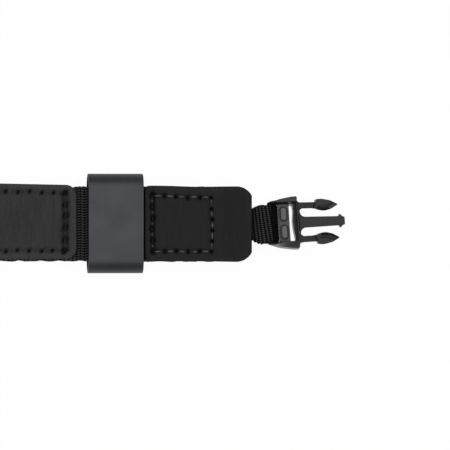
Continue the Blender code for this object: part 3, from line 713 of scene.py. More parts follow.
def sew(name, starts, ends, outs, sinks):
    """One object of stitches from starts to ends, copies of the first, with outs as their upper side. A
    stitch that was pulled tight is sunk deeper and plunges more steeply into its holes."""
    copies = []
    plunge_share = np.array(dives)[:, None] ** 3
    for start, end, out, sink in zip(starts, ends, outs, sinks):
        middle, run = Vector((start + end) / 2), Vector(end - start)
        facing = Vector(out).normalized()
        across = facing.cross(run).normalized()
        facing = run.cross(across).normalized()
        stretch = run.length / 2 / STITCH_HALF
        turn = Matrix((run.normalized() * stretch, across, facing)).transposed().to_4x4()
        copy = stitch.copy()
        copy.data = stitch.data.copy()
        copy.data.transform(Matrix.Translation((middle - facing * sink) * MM) @ turn)
        plunge = np.array(facing) * PLUNGE * max(sink - THREAD_SINK, 0.0) * MM
        copy.data.vertices.foreach_set("co", (points_of(copy.data) - plunge * plunge_share).ravel())
        bpy.context.collection.objects.link(copy)
        copies.append(copy)
    print(name, "has", len(copies), "stitches")
    seam = join(copies)
    bpy.ops.object.shade_smooth()
    return seam


# %% The seam of the pad
END_SINK = 0.42
PAD_END_SINK = 0.14

on_face = PAD_LIFT + PAD_THICKNESS / 2
starts = on_loop(*holes.T, on_face)
outs = on_loop(*holes.T, on_face + 1.0) - starts
ends = np.roll(starts, -1, axis=0)
across_end = at_the_end & np.roll(at_the_end, -1)
pad_stitches = sew("pad_stitches", starts, ends, outs, THREAD_SINK + (END_SINK + PAD_END_SINK) * across_end)

# %% [markdown]
# ## The end tab
# Two pieces of smooth calf leather hold the ends of both webbings between them. A rectangle of stitches
# goes through everything beside the sleeve. Past the wide webbing's cut end the leather comes down onto
# the narrow webbing, so the tab is thinner there. The same strip tool makes both, the lower one as
# the mirror of the upper.

# %% The tab's shape
TAB_THICKNESS = 1.2
TAB_HEIGHT = tab_high[2] - MIDDLE - TAB_THICKNESS / 2
TAB_CORNER = 1.6
TAB_END_ARC = 4.8
TAB_END_REACH = 4.2
TAB_EDGE = 0.32
TAB_UNDER_EDGE = 0.12
DROP = 1.4
DROP_START = TAB_LENGTH - 9.4
DROP_LENGTH = 9.4
LEFT_SKIVE = 0.35
SEAM_START = 2.05
SEAM_LENGTH = 15.6
SEAM_TOP = (7.4, -0.55)
SEAM_BOTTOM = (-7.2, -0.25)
SIDE_STITCHES = 5
tab_half = (tab_high[1] - tab_low[1]) / 2


def tab_half_at(x):
    """Half the tab's width: small corners by the sleeve, and wide arcs cut short at the other end."""
    near = np.clip(TAB_CORNER - x, 0.0, TAB_CORNER)
    into_arc = np.clip(x - TAB_LENGTH + TAB_END_REACH, 0.0, TAB_END_REACH)
    corner = TAB_CORNER - np.sqrt(TAB_CORNER**2 - near**2)
    return tab_half - corner - (TAB_END_ARC - np.sqrt(TAB_END_ARC**2 - into_arc**2))


def seam_row(row, x):
    """Where a row of the hand-guided seam is at x: its start and its drift over the seam's length."""
    return row[0] + row[1] * (x - SEAM_START) / SEAM_LENGTH


def tab_holes():
    """The holes of the tab's seam as (x, y), in order round its rectangle."""
    sides = np.linspace(SEAM_START, SEAM_START + SEAM_LENGTH, SIDE_STITCHES + 1)
    top = np.stack([sides, seam_row(SEAM_TOP, sides)], 1)
    bottom = np.stack([sides[::-1], seam_row(SEAM_BOTTOM, sides[::-1])], 1)
    right = np.linspace(top[-1], bottom[0], SIDE_STITCHES + 1)[1:-1]
    left = np.linspace(bottom[-1], top[0], SIDE_STITCHES + 1)[1:-1]
    holes = np.concatenate([top, right, bottom, left])
    return holes + rng.normal(0.0, HOLE_WANDER, holes.shape)


tab_hole_places = tab_holes()
print(len(tab_hole_places), "holes in the tab")

# %% How the tab's leather lies
TAB_DENT = 0.3
DENT_MIDDLE = 14.5
DENT_LENGTH = 7.0
TAB_SWERVE = 0.15
TAB_CROWN = 0.08
TAB_LOWER = 0.05
CREASE_DEPTH = 0.16
CREASE_WIDTH = 0.4
SKIVE_SHADE = 0.8
SLEEVE_SIDE = 0.7
CORNER_HOLE = 1.3
tab_radii = np.where(tab_hole_places[:, 0] < SEAM_START + SLEEVE_SIDE, END_HOLE_RADIUS, HOLE_RADIUS)
tab_radii[0] *= CORNER_HOLE


def tab_face(x):
    """The height of the leather's outer face above the middle plane."""
    share = np.clip((x - DROP_START) / DROP_LENGTH, 0.0, 1.0)
    eased = np.where(share < 0.3, share**2 / 0.6, share - 0.15) / 0.85
    return TAB_HEIGHT + TAB_THICKNESS / 2 - DROP * eased


def tab_place(side):
    """How the upper (1) or lower (-1) piece lies: as the pad does, and skived and creased beside the sleeve."""
    def place(x, across, face):
        dent = TAB_DENT * np.exp(-((x - DENT_MIDDLE) / DENT_LENGTH) ** 2) * smooth(across / tab_half)
        y = across / tab_half * tab_half_at(x)
        to_side = (tab_half_at(x) - np.abs(y)) * np.where(x > TAB_LENGTH - TAB_END_REACH, 0.8, 1.0)
        rim = inset_in(np.minimum(x, TAB_LENGTH - x), to_side, 0.3)
        to_seam = np.minimum(x - SEAM_START, SEAM_START + SEAM_LENGTH - x)
        seam = inset_in(to_seam, np.minimum(seam_row(SEAM_TOP, x) - y, y - seam_row(SEAM_BOTTOM, x)), SEAM_CORNER)
        hole = hole_dimples(x, y, tab_hole_places, tab_radii, 0.0)
        valley = np.exp(-(seam / VALLEY_WIDTH) ** 2)
        waves = 0.03 * np.sin(x / 1.4 + 0.8 * np.sin(y / 2.6)) + 0.02 * np.sin(y / 1.7)
        at_end = smooth((SEAM_START + 1.5 - x) / 1.0)
        depth = VALLEY_DEPTH + (END_VALLEY_DEPTH - VALLEY_DEPTH) * at_end
        crease = CREASE_DEPTH * np.exp(-((x - SEAM_START) / CREASE_WIDTH) ** 2) * smooth((y - SEAM_TOP[0]) / 0.3)
        skived = LEFT_SKIVE * smooth(1.0 - x / (SEAM_START + 0.5))
        relief = TAB_CROWN * smooth(seam / 3.0) - depth * valley - HOLE_DEPTH * hole + waves * smooth(rim / 2.0)
        relief = np.maximum(relief - skived - crease, DEEPEST + 0.1)
        height = tab_face(x) - rim_drop(rim, TAB_EDGE) + relief - TAB_LOWER
        height = np.where(face > 0, height, tab_face(x) - TAB_THICKNESS + rim_drop(rim, TAB_UNDER_EDGE))
        y = y - dent - TAB_SWERVE * smooth((x - 15.0) / 10.0)
        places = np.stack([START + x, y, MIDDLE + side * height], -1)
        # Painted shade in the seam's valley, the crease and the skived strip beside the sleeve, carried by this
        # attribute.
        groove_shade = np.maximum(valley * depth / END_VALLEY_DEPTH, crease / CREASE_DEPTH)
        groove_shade = np.maximum(groove_shade, SKIVE_SHADE * skived / LEFT_SKIVE * (face > 0))
        return places, {"rim": rim, "groove_shade": groove_shade, "hole": hole * (face > 0)}
    return place


# %% Both tab pieces and their stitches
TAB_THREAD_LIFT = 0.1

tab_along = graded((0.0, 0.04), (0.08, 0.1), (0.5, 0.17), (TAB_LENGTH - 4.2, 0.17), (TAB_LENGTH - 0.5, 0.1),
                   (TAB_LENGTH - 0.08, 0.04), (TAB_LENGTH, 1.0))
tab_outer = mirrored(graded((-tab_half, 0.04), (0.08 - tab_half, 0.1), (0.5 - tab_half, 0.19), (0.0, 1.0)))
tab_pieces, tab_seams = {}, {}
for word, side in (("top", 1.0), ("bottom", -1.0)):
    tab_pieces[word] = strip("tab_" + word, tab_along, tab_outer, tab_half * INNER_SHARES, tab_place(side))
    x, y = tab_hole_places.T
    starts = np.stack([START + x, y, MIDDLE + side * (tab_face(x) - TAB_LOWER)], -1)
    ends = np.roll(starts, -1, axis=0)
    outs = np.repeat([[0.0, 0.0, side]], len(x), axis=0)
    by_sleeve = (x < SEAM_START + SLEEVE_SIDE) & (np.roll(x, -1) < SEAM_START + SLEEVE_SIDE)
    sinks = THREAD_SINK - TAB_THREAD_LIFT + END_SINK * by_sleeve
    tab_seams[word] = sew("tab_stitches_" + word, starts, ends, outs, sinks)

# %% [markdown]
# ## The sleeve
# The sleeve is a short length of aluminium tube, pressed flat and bead blasted before it was anodised
# dark grey. A cube of its outer size is opened at both ends, its four long edges get a wide bevel, a
# wall is given inwards, and the cut rims get a tiny bevel, as a deburred edge has.

# %% The sleeve, from a cube to a tube
SLEEVE_WALL = 0.8
SLEEVE_CORNER = 3.85
SLEEVE_RIM = 0.14
CORNER_STEPS = 14
middle = Vector((sleeve_low + sleeve_high) / 2) * MM
size = Vector(sleeve_high - sleeve_low) * MM

deselect()
bpy.ops.mesh.primitive_cube_add(size=1.0, location=middle, scale=size)
bpy.ops.object.transform_apply(location=True, rotation=True, scale=True)
sleeve = bpy.context.object
bpy.ops.object.mode_set(mode="EDIT")
bpy.ops.mesh.select_mode(type="FACE")
bpy.ops.mesh.select_all(action="DESELECT")
work = bmesh.from_edit_mesh(sleeve.data)
for face in work.faces:
    face.select_set(abs(face.normal.x) > 0.9)
bmesh.update_edit_mesh(sleeve.data)
bpy.ops.mesh.delete(type="ONLY_FACE")
bpy.ops.mesh.select_mode(type="EDGE")
bpy.ops.mesh.select_all(action="DESELECT")
work = bmesh.from_edit_mesh(sleeve.data)
for edge in work.edges:
    edge.select_set(abs(edge.verts[0].co.x - edge.verts[1].co.x) > size.x / 2)
bmesh.update_edit_mesh(sleeve.data)
bpy.ops.mesh.bevel(offset=SLEEVE_CORNER * MM, segments=CORNER_STEPS, affect="EDGES")
close_edit()
apply_modifier(sleeve, "SOLIDIFY", thickness=SLEEVE_WALL * MM, offset=-1.0, use_even_offset=True)
apply_modifier(sleeve, "BEVEL", width=SLEEVE_RIM * MM, segments=3, limit_method="ANGLE", angle_limit=radians(60))
bpy.ops.object.shade_smooth_by_angle(angle=radians(40))
print(len(sleeve.data.polygons), "faces in the sleeve")

# %% [markdown]
# ## Leather material: embossed cowhide and smooth calf
# Both leathers are dyed through and finished with a thin pigmented coat. The pad's coat was pressed with
# a pebble grain, and the tab's was left smooth, so only faint lines across it show where it was bent.
# A painted light makes the coat paler on the margin along the rims, and the needle holes, the seam's valley and a
# crease get a painted shade. Both share one recipe with different sizes, read from the strip's own UV distances in
# millimetres.

# %% The leather recipe
HOLE_SHADE = "#181818"


def leather_material(name, field, painted_shading, grain, grain_depth, line_depth, roughness, specular):
    """Pigmented leather: two hex colours, the grain's size and depth in mm, a mean roughness and how much
    its coat mirrors."""
    material, shader = new_material(name)
    lay = add_node(material, "UVMap", uv_map="lay")
    cells = add_node(material, "TexVoronoi", feature="SMOOTH_F1", Vector=lay, Scale=1 / grain)
    fine = add_node(material, "TexNoise", Vector=lay, Scale=1.2 / grain, Detail=5.0)
    stretched = add_node(material, "Mapping", Vector=lay, Scale=(1.3, 0.16, 1.0))
    lines = add_node(material, "TexNoise", Vector=stretched, Scale=1.0, Detail=4.0)
    cloud = add_node(material, "TexNoise", Vector=lay, Scale=0.12, Detail=2.0)
    rim = add_node(material, "Attribute", attribute_name="rim")
    hole = add_node(material, "Attribute", attribute_name="hole")
    # Painted light: the margin along the rims is made paler, up to 2.2 mm in.
    rim_light = add_node(material, "MapRange", _0=rim.outputs["Fac"], _1=0.0, _2=2.2, _3=0.55, _4=0.0)
    tone = add_node(material, "MapRange", _0=lines, _1=0.35, _2=0.65, _3=0.0, _4=0.3)
    patch = add_node(material, "MapRange", _0=cloud, _1=0.3, _2=0.7, _3=0.0, _4=0.25)
    speck = add_node(material, "MapRange", _0=fine, _1=0.35, _2=0.65, _3=-0.2, _4=0.3)
    spotted = add_node(material, "Math", operation="ADD", _0=tone, _1=speck)
    sum_tone = add_node(material, "Math", operation="ADD", _0=rim_light, _1=spotted)
    whole = add_node(material, "Math", operation="ADD", _0=sum_tone, _1=patch)
    # Painted shade: the needle holes, the seam's valley, the crease and the skived strip are darkened towards
    # HOLE_SHADE.
    groove_shade = add_node(material, "Attribute", attribute_name="groove_shade")
    shaded = add_node(material, "Math", operation="MULTIPLY", _0=groove_shade.outputs["Fac"], _1=0.5)
    deep = add_node(material, "Math", operation="MAXIMUM", _0=hole.outputs["Fac"], _1=shaded)
    dark = add_node(material, "MapRange", _0=deep, _1=0.1, _2=0.65, _3=0.0, _4=1.0)
    coat = add_node(material, "ValToRGB", _0=whole)
    paint_ramp(coat, (0.0, field), (1.0, painted_shading))
    seam_shade = add_node(material, "ValToRGB", _0=dark)
    paint_ramp(seam_shade, (0.0, WHITE), (1.0, HOLE_SHADE))
    colour = add_node(material, "MixRGB", blend_type="MULTIPLY", _0=1.0, _1=coat, _2=seam_shade)
    grained = add_node(material, "Bump", Height=cells, Strength=1.0, Distance=grain_depth * MM)
    pored = add_node(material, "Bump", Height=fine, Strength=1.0, Distance=grain_depth * 0.8 * MM, Normal=grained)
    creased = add_node(material, "Bump", Height=lines, Strength=1.0, Distance=line_depth * MM, Normal=pored)
    gloss = add_node(material, "MapRange", _0=fine, _1=0.3, _2=0.7, _3=roughness - 0.06, _4=roughness + 0.08)
    link(material, shader, Base_Color=colour, Normal=creased, Roughness=gloss)
    shader.inputs["IOR"].default_value = 1.48
    shader.inputs["Specular IOR Level"].default_value = specular
    return material


# %% The pad's leather
cowhide = leather_material("embossed_cowhide", field="#131313", painted_shading="#303030", grain=0.6, grain_depth=0.09,
                           line_depth=0.06, roughness=0.5, specular=0.25)
finish_piece(pad, "pad_leather", cowhide, "strap", "grain_leather", "wrist_pad")

# %% [markdown]
# ## Thread material: waxed polyester
# Twisted polyester thread with a wax finish. It is a little greyer than the leather, because the wax
# dries pale, and the twist of its plies shows as fine slanting lines. Each stitch's ends dive into a
# hole and are in its shade, which an attribute of the stitch tells the material.

# %% The thread
THREAD_SHADE = "#101010"
PLIES_PER_METRE = 650.0
WAX_PER_METRE = 900.0


def thread_material(name, colour):
    """Waxed thread of a hex colour, darker towards a stitch's two ends."""
    material, shader = new_material(name)
    place = add_node(material, "TexCoord")
    plies = add_node(material, "TexWave", bands_direction="DIAGONAL", Vector=place.outputs["Object"],
                     Scale=PLIES_PER_METRE, Distortion=1.0)
    twist = add_node(material, "Bump", Height=plies.outputs[1], Strength=0.7, Distance=0.08 * MM)
    wax = add_node(material, "TexNoise", Vector=place.outputs["Object"], Scale=WAX_PER_METRE, Detail=2.0)
    tone = add_node(material, "ValToRGB", _0=wax)
    paint_ramp(tone, (0.3, THREAD_SHADE), (0.55, colour))
    dive = add_node(material, "Attribute", attribute_name="dive")
    lit = add_node(material, "MapRange", _0=dive.outputs["Fac"], _1=0.35, _2=0.7, _3=1.0, _4=0.05)
    seen = add_node(material, "MixRGB", blend_type="MULTIPLY", _0=1.0, _1=tone, _2=lit)
    link(material, shader, Base_Color=seen, Normal=twist)
    shader.inputs["Roughness"].default_value = 0.48
    shader.inputs["Specular IOR Level"].default_value = 0.25
    return material


pad_thread = thread_material("waxed_polyester_thread", "#181818")
tab_thread = thread_material("waxed_polyester_thread_grey", "#4C4C4C")
finish_piece(pad_stitches, "pad_stitches", pad_thread, "strap", "thread", "pad_thread")
for word in ("top", "bottom"):
    finish_piece(tab_seams[word], "tab_stitches_" + word, tab_thread, "strap", "thread", "tab_thread_" + word)

# %% The tab's leather
calf = leather_material("smooth_calf", field="#0E0E0E", painted_shading="#1B1B1B", grain=0.45, grain_depth=0.025,
                        line_depth=0.08, roughness=0.52, specular=0.16)
for word, piece in tab_pieces.items():
    finish_piece(piece, "tab_leather_" + word, calf, "strap", "smooth_leather", "tab_" + word)

# %% [markdown]
# ## Sleeve material: bead-blasted anodised aluminium
# Blasting with fine glass beads leaves a surface of tiny even dimples, which scatters what the metal
# mirrors into a soft sheen. The dyed oxide over it is dark grey with a cool cast. The dimples of 0.1 mm
# are too fine to show, so they are drawn about three times as coarse.

# %% Anodised aluminium
DIMPLE = 0.3
HANDLING_PER_METRE = 140.0

anodised, shader = new_material("bead_blasted_anodised_aluminium")
place = add_node(anodised, "TexCoord")
beads = add_node(anodised, "TexNoise", Vector=place.outputs["Object"], Scale=1 / (DIMPLE * MM), Detail=2.0)
dimples = add_node(anodised, "Bump", Height=beads, Strength=0.35, Distance=0.03 * MM)
handled = add_node(anodised, "TexNoise", Vector=place.outputs["Object"], Scale=HANDLING_PER_METRE, Detail=3.0)
dye = add_node(anodised, "ValToRGB", _0=handled)
paint_ramp(dye, (0.3, "#3D3E41"), (0.7, "#47484B"))
sheen = add_node(anodised, "MapRange", _0=handled, _1=0.3, _2=0.7, _3=0.44, _4=0.5)
link(anodised, shader, Base_Color=dye, Roughness=sheen, Normal=dimples)
shader.inputs["Metallic"].default_value = 1.0
finish_piece(sleeve, "sleeve_tube", anodised, "sleeve", "anodised_metal", "sleeve")

# %% [markdown]
# ## The narrow webbing
# A short band of 10 mm class webbing comes out of the tab, goes round the buckle's tail bar and back
# into the tab. The tab pinches it, so it swells to its full width just outside. It is woven coarser
# than the wide one, with ribs straight across. Between the tab and the bar it turns a little, because
# the buckle lies tilted on the table.

# %% Where the narrow webbing runs
narrow_low = box_mm("buckle_webbing")[0]
HINGE = np.array([joint for joint in frame["joints"] if joint["name"] == "buckle_swing"][0]["pos_m"]) / MM
NARROW_REACH = HINGE[0] - START - TAB_LENGTH
NARROW_HEIGHT = 0.6
WRAP_RADIUS = 1.58
WRAP_STEPS = 60


def narrow_line():
    """The middle line before it turns: distance to the bar, height, and how far it has turned."""
    out = np.arange(narrow_low[0] - HINGE[0], 0.0, LINE_STEP)
    share = np.clip(out / NARROW_REACH + 1.0, 0.0, 1.0)
    height = NARROW_HEIGHT + (WRAP_RADIUS - NARROW_HEIGHT) * smooth(share * 1.2)
    angle = np.linspace(pi / 2, -pi / 2, WRAP_STEPS)
    u = np.concatenate([out, WRAP_RADIUS * np.cos(angle), out[::-1]])
    w = np.concatenate([height, WRAP_RADIUS * np.sin(angle), -height[::-1]])
    return u, w, np.concatenate([share, np.ones(WRAP_STEPS), share[::-1]])


line_u, line_w, line_share = narrow_line()
narrow_at = np.concatenate([[0.0], np.cumsum(np.hypot(np.diff(line_u), np.diff(line_w)))])
NARROW_LENGTH = narrow_at[-1]
run_u, run_w = np.gradient(line_u), np.gradient(line_w)
run_size = np.hypot(run_u, run_w)
print(f"the narrow webbing is {NARROW_LENGTH:.1f} mm long")

# %% The buckle's tilt, which the webbing takes up on its way to the bar
BUCKLE_ROLL = radians(-10.0)
BUCKLE_YAW = radians(2.5)
BUCKLE_LIE = -0.2


def turned(u, v, w, share):
    """Points of the buckle's own frame, turned by a share of its roll and yaw and put on the bar."""
    eased = smooth(share)
    roll, yaw = BUCKLE_ROLL * eased, BUCKLE_YAW * eased
    v = v + BUCKLE_LIE * eased
    v, w = v * np.cos(roll) - w * np.sin(roll), v * np.sin(roll) + w * np.cos(roll)
    u, v = u * np.cos(yaw) - v * np.sin(yaw), u * np.sin(yaw) + v * np.cos(yaw)
    return HINGE + np.stack([u, v, w], -1)


print(f"rolled by {np.degrees(BUCKLE_ROLL):.0f} and turned by {np.degrees(BUCKLE_YAW):.1f} degrees")

# %% How the narrow webbing lies
NARROW_THICKNESS = 1.0
NARROW_HALF = 5.1
NARROW_PINCH = 1.05
PINCH_LENGTH = 2.5
NARROW_LIE = -0.25
NARROW_EDGE = 0.45
IN_BUCKLE_HALF = 4.94
IN_BUCKLE_ABOVE = 0.63
IN_BUCKLE_BELOW = 0.54
RIB_PITCH = 0.96
RIB_DEPTH = 0.34
RIB_SKEW = 0.1
RIB_TOOTH = 0.16
PEBBLE_PITCH = 0.56
MEAN_RIB = 0.6
TAB_SHADE = 0.7


def narrow_place(along, across, face):
    """The narrow webbing on its line: pinched by the tab, ribbed where it is free, narrower in the buckle."""
    u, w, share, out_u, out_w = [np.interp(along, narrow_at, part) for part in
                                 (line_u, line_w, line_share, -run_w / run_size, run_u / run_size)]
    left = np.clip(1.0 - share * NARROW_REACH / PINCH_LENGTH, 0.0, 1.0)
    in_buckle = smooth((share - np.where(w < 0, IN_BUCKLE_BELOW, IN_BUCKLE_ABOVE)) / 0.1)
    half = NARROW_HALF - NARROW_PINCH * left**1.5 - (NARROW_HALF - IN_BUCKLE_HALF) * in_buckle
    rib = (along + RIB_SKEW * across) / RIB_PITCH
    tooth = RIB_TOOTH * np.cos(2 * pi * rib) * smooth((0.6 - NARROW_HALF - across) / 0.6) * (1.0 - in_buckle)
    v = across * half / NARROW_HALF + np.sign(across) * tooth + NARROW_LIE * (1.0 - share)
    inset = NARROW_HALF - np.abs(across)
    pebble = 0.75 + 0.25 * np.cos(2 * pi * (across / PEBBLE_PITCH + 0.5 * np.floor(rib)))
    facing = smooth((out_u - 0.1) / 0.7)
    free = smooth(share * 8.0) * (1.0 - facing)
    sunk = MEAN_RIB + (1.0 - MEAN_RIB) * smooth(u + 1.5)
    relief = RIB_DEPTH * (np.abs(np.sin(pi * rib)) * pebble - sunk) * free * smooth(inset / 0.3)
    height = face * (NARROW_THICKNESS / 2 - rim_drop(inset, NARROW_EDGE)) + (face > 0) * relief
    # Painted shade: darker where the band turns down into the buckle's slot and where it leaves the tab.
    painted_shade = smooth((u + 0.25) / 0.6) * (face > 0) * (out_w > -0.3)
    painted_shade = np.maximum(painted_shade, TAB_SHADE * smooth(1.0 - share / 0.3))
    return turned(u + out_u * height, v, w + out_w * height, share), {"painted_shade": painted_shade}


# %% The narrow webbing, with its rows closest where it is free
RIB_BLACK = "#4B4B4C"
THIN_RIB = 1.6
PEBBLE_LEAN = 0.5

free_from = narrow_at[np.argmax(line_share > 0.0)] - 0.5
along = mirrored(graded((0.0, 2.0), (free_from, 0.12), (NARROW_LENGTH / 2, 0.12)), NARROW_LENGTH)
outer = np.concatenate([[-NARROW_HALF, 0.03 - NARROW_HALF],
                        graded((0.1 - NARROW_HALF, 0.14), (NARROW_HALF - 0.1, 0.1)),
                        [NARROW_HALF - 0.03, NARROW_HALF]])
inner = NARROW_HALF * np.array([-1.0, -0.97, -0.5, 0.0, 0.5, 0.97, 1.0])
narrow = strip("narrow_webbing", along, outer, inner, narrow_place)
ribbed = webbing_material("woven_polyester_ribbed", RIB_BLACK, RIB_PITCH, PEBBLE_PITCH, PEBBLE_LEAN,
                          YARN_RELIEF, THIN_RIB, RIB_SKEW)
finish_piece(narrow, "narrow_webbing", ribbed, "strap", "webbing", "buckle_webbing")

# %% [markdown]
# ## The buckle
# The male half of the buckle is one acetal moulding. In the real mould its bars, wings, arms and tongue
# are cut into one cavity, and a small cutter leaves every inside corner rounded. So each member is first
# drawn as a closed outline and extruded. Then all of them are remeshed into one skin with cubes of about
# a tenth of a millimetre, which welds them, and a little smoothing rounds every corner as the mould
# does. The recesses on the heads and the two finger grips are pressed into that skin afterwards.

# %% How an outline becomes a member
ARC_STEPS = 6


def rounded(corners):
    """The closed outline through (u, v, radius) corners in mm, with an arc at each."""
    points = []
    for index, (u, v, radius) in enumerate(corners):
        corner = Vector((u, v))
        before = (Vector(corners[index - 1][:2]) - corner).normalized()
        after = (Vector(corners[(index + 1) % len(corners)][:2]) - corner).normalized()
        if radius == 0.0:
            points.append(corner)
            continue
        half = before.angle(after) / 2
        centre = corner + (before + after).normalized() * radius / sin(half)
        first = corner + before * radius / np.tan(half) - centre
        turn = first.angle_signed(corner + after * radius / np.tan(half) - centre)
        for step in range(ARC_STEPS + 1):
            points.append(centre + Matrix.Rotation(-turn * step / ARC_STEPS, 2) @ first)
    return points


def member(corners, low, high, flip=1.0):
    """A solid from an outline: a filled ring of points is moved onto it and extruded from low to high."""
    outline = rounded(corners)
    deselect()
    bpy.ops.mesh.primitive_circle_add(vertices=len(outline), radius=MM, fill_type="NGON")
    item = bpy.context.object
    for vertex, point in zip(item.data.vertices, outline):
        vertex.co = (point[0] * MM, point[1] * flip * MM, low * MM)
    start_edit("SELECT")
    bpy.ops.mesh.extrude_region_move(TRANSFORM_OT_translate={"value": (0.0, 0.0, (high - low) * MM)})
    close_edit()
    return item


# %% Sizes of the buckle: u along it from the tail bar, v across it
OPENING = 5.0
WING_PLACES = ((-0.8, 7.15, 6.85), (-1.1, 7.45, 6.75))
WING_TOP = 2.5
KEEPER = (2.13, 5.0)
KEEPER_TOP = 1.0
KEEPER_FOOT = -0.9
BAR_RADIUS = 0.7
BAR_LENGTH = 11.2
CROSSBAR = (6.3, 7.5)
CROSSBAR_TOP = 1.7
TONGUE_END = 19.7
TONGUE_TOP = 1.0
ARM = (3.7, 5.38)
ARM_TOP = 1.4
HEAD = (12.2, 18.1)
HEAD_TOP = 1.9
print(f"the buckle reaches {TONGUE_END} mm past its tail bar")

# %% The members of the buckle


def wing(tail, end, out):
    """A wing's outline from its thin tail to its outer corner at the latch side."""
    return [(tail, OPENING, 0.0), (end, OPENING, 0.0), (end, out, 0.3), (5.5, out - 0.1, 5.0),
            (2.5, out - 0.6, 5.0), (0.1, 5.5, 3.0), (tail, OPENING + 0.06, 0.0)]


arm = [(6.6, ARM[0] - 0.5, 0.0), (7.8, ARM[0] - 0.5, 0.0), (8.4, ARM[0], 0.8), (11.0, ARM[0] - 0.05, 1.0),
       (12.7, ARM[0] - 0.35, 0.0), (12.7, ARM[1] - 0.1, 0.0), (6.6, ARM[1], 0.0)]
head = [(11.3, 3.8, 0.6), (12.9, 3.1, 2.5), (14.4, 2.83, 2.5), (16.1, 3.28, 3.0), (HEAD[1], 4.45, 0.15),
        (16.0, 5.62, 3.0), (13.6, 6.15, 2.5), (HEAD[0], 5.98, 0.3), (HEAD[0] - 0.15, ARM[1] - 0.3, 0.1)]
keeper = [(KEEPER[0], -5.6, 0.0), (KEEPER[1], -5.6, 0.0), (KEEPER[1], 5.6, 0.0), (KEEPER[0], 5.6, 0.0)]
crossbar = [(CROSSBAR[1], -5.6, 0.0), (CROSSBAR[1], 5.6, 0.0), (5.1, 5.6, 0.0), (5.1, 5.1, 0.0), (5.95, 4.9, 0.6),
            (6.05, 3.0, 3.0), (5.78, 0.6, 3.0), (5.9, -1.4, 3.0), (6.3, -4.0, 1.5), (6.2, -5.0, 0.4),
            (5.5, -5.15, 0.0), (5.5, -5.6, 0.0)]
ridge = [(6.95, -5.3, 0.0), (7.35, -5.3, 0.0), (7.35, 5.3, 0.0), (6.95, 5.3, 0.0)]
tongue = [(7.0, -4.6, 0.0), (7.5, -4.6, 0.0), (7.88, -4.1, 0.0), (7.88, -1.5, 1.4), (18.1, -1.25, 0.0),
          (18.45, -1.92, 0.05), (19.1, -1.2, 0.1), (TONGUE_END, -1.05, 0.25)]
tongue += [(u, -v, radius) for u, v, radius in reversed(tongue)]
members = [member(keeper, KEEPER_FOOT, KEEPER_TOP), member(crossbar, -CROSSBAR_TOP, CROSSBAR_TOP - 0.25),
           member(ridge, 0.0, CROSSBAR_TOP), member(tongue, -TONGUE_TOP, TONGUE_TOP)]
for flip, places in zip((1.0, -1.0), WING_PLACES):
    members += [member(wing(*places), -WING_TOP, WING_TOP, flip), member(arm, -ARM_TOP, ARM_TOP, flip),
                member(head, -HEAD_TOP, HEAD_TOP, flip)]
deselect()
bpy.ops.mesh.primitive_cylinder_add(vertices=24, radius=BAR_RADIUS * MM, depth=BAR_LENGTH * MM,
                                    rotation=(pi / 2, 0.0, 0.0))
members.append(bpy.context.object)
print(len(members), "members of the buckle")

# %% One moulded skin
SKIN_CUBE = 0.12

buckle = join(members)
bpy.ops.object.transform_apply(location=True, rotation=True, scale=True)
apply_modifier(buckle, "REMESH", mode="VOXEL", voxel_size=SKIN_CUBE * MM)
apply_modifier(buckle, "SMOOTH", factor=0.5, iterations=4)
print(len(buckle.data.polygons), "faces in the skin")

# %% Two raised grips on the keeper bar, and a fine line along the crossbar
GRIP_MIDDLE = (3.5, 2.43)
GRIP_HALF = (0.82, 1.78)
GRIP_CORNER = 0.75
GRIP_RISE = 0.3
GRIP_GROOVE = 0.26
GROOVE_WIDTH = 0.12
LINE_AT = 6.6
LINE_DEPTH = 0.34
LINE_WIDTH = 0.12

u, v, w = points_of(buckle.data).T / MM
on_keeper = (w > KEEPER_TOP - 0.35) & (u > KEEPER[0] - 0.1) & (u < KEEPER[1] + 0.1) & (np.abs(v) < OPENING - 0.1)
to_u, to_v = np.abs(u - GRIP_MIDDLE[0]), np.abs(np.abs(v) - GRIP_MIDDLE[1])
oval = inset_in(GRIP_HALF[0] - to_u, GRIP_HALF[1] - to_v, GRIP_CORNER)
ring = np.exp(-((oval + GROOVE_WIDTH) / GROOVE_WIDTH) ** 2)
w = w + on_keeper * (GRIP_RISE * smooth(oval / 0.25 + 0.2) - GRIP_GROOVE * ring)
on_bar = (w > CROSSBAR_TOP - 0.5) & (u > CROSSBAR[0] - 0.2) & (u < CROSSBAR[1]) & (np.abs(v) < OPENING)
w = w - on_bar * LINE_DEPTH * np.exp(-((u - LINE_AT) / LINE_WIDTH) ** 2)
print(on_keeper.sum(), "points on the keeper's face")

# %% The wings: a draft on their walls, a slope on the lower one, and thinner tails
WING_DRAFT = 0.43
WING_SLOPE = 1.2
WING_FOOT = 0.3
SLOPE_WIDTH = 1.6
TAIL_TAPER = 0.36

wing_wall = (u < CROSSBAR[1]) * smooth((np.abs(v) - OPENING + 0.5) / 0.3) * smooth((w - 0.8) / 0.3)
out = np.sign(v) * wing_wall
v = v + out * WING_DRAFT * np.clip((w - 1.0) / 1.5, 0.0, 1.0) * smooth((6.1 - np.abs(v)) / 0.8)
height = np.clip((w - WING_FOOT) / (WING_TOP - WING_FOOT), 0.0, 1.0)
on_wing = (u < CROSSBAR[1]) & (v < 0)
sloped = np.clip((np.abs(v) - OPENING) / SLOPE_WIDTH, 0.0, 1.0)
v = v + on_wing * WING_SLOPE * smooth((u - 0.3) / 4.0) * height * sloped
w = w * (1.0 - TAIL_TAPER * smooth((2.6 - u) / 3.2) * (np.abs(v) > OPENING - 0.1))
print(f"the buckle is {np.ptp(v):.1f} mm across its wings")

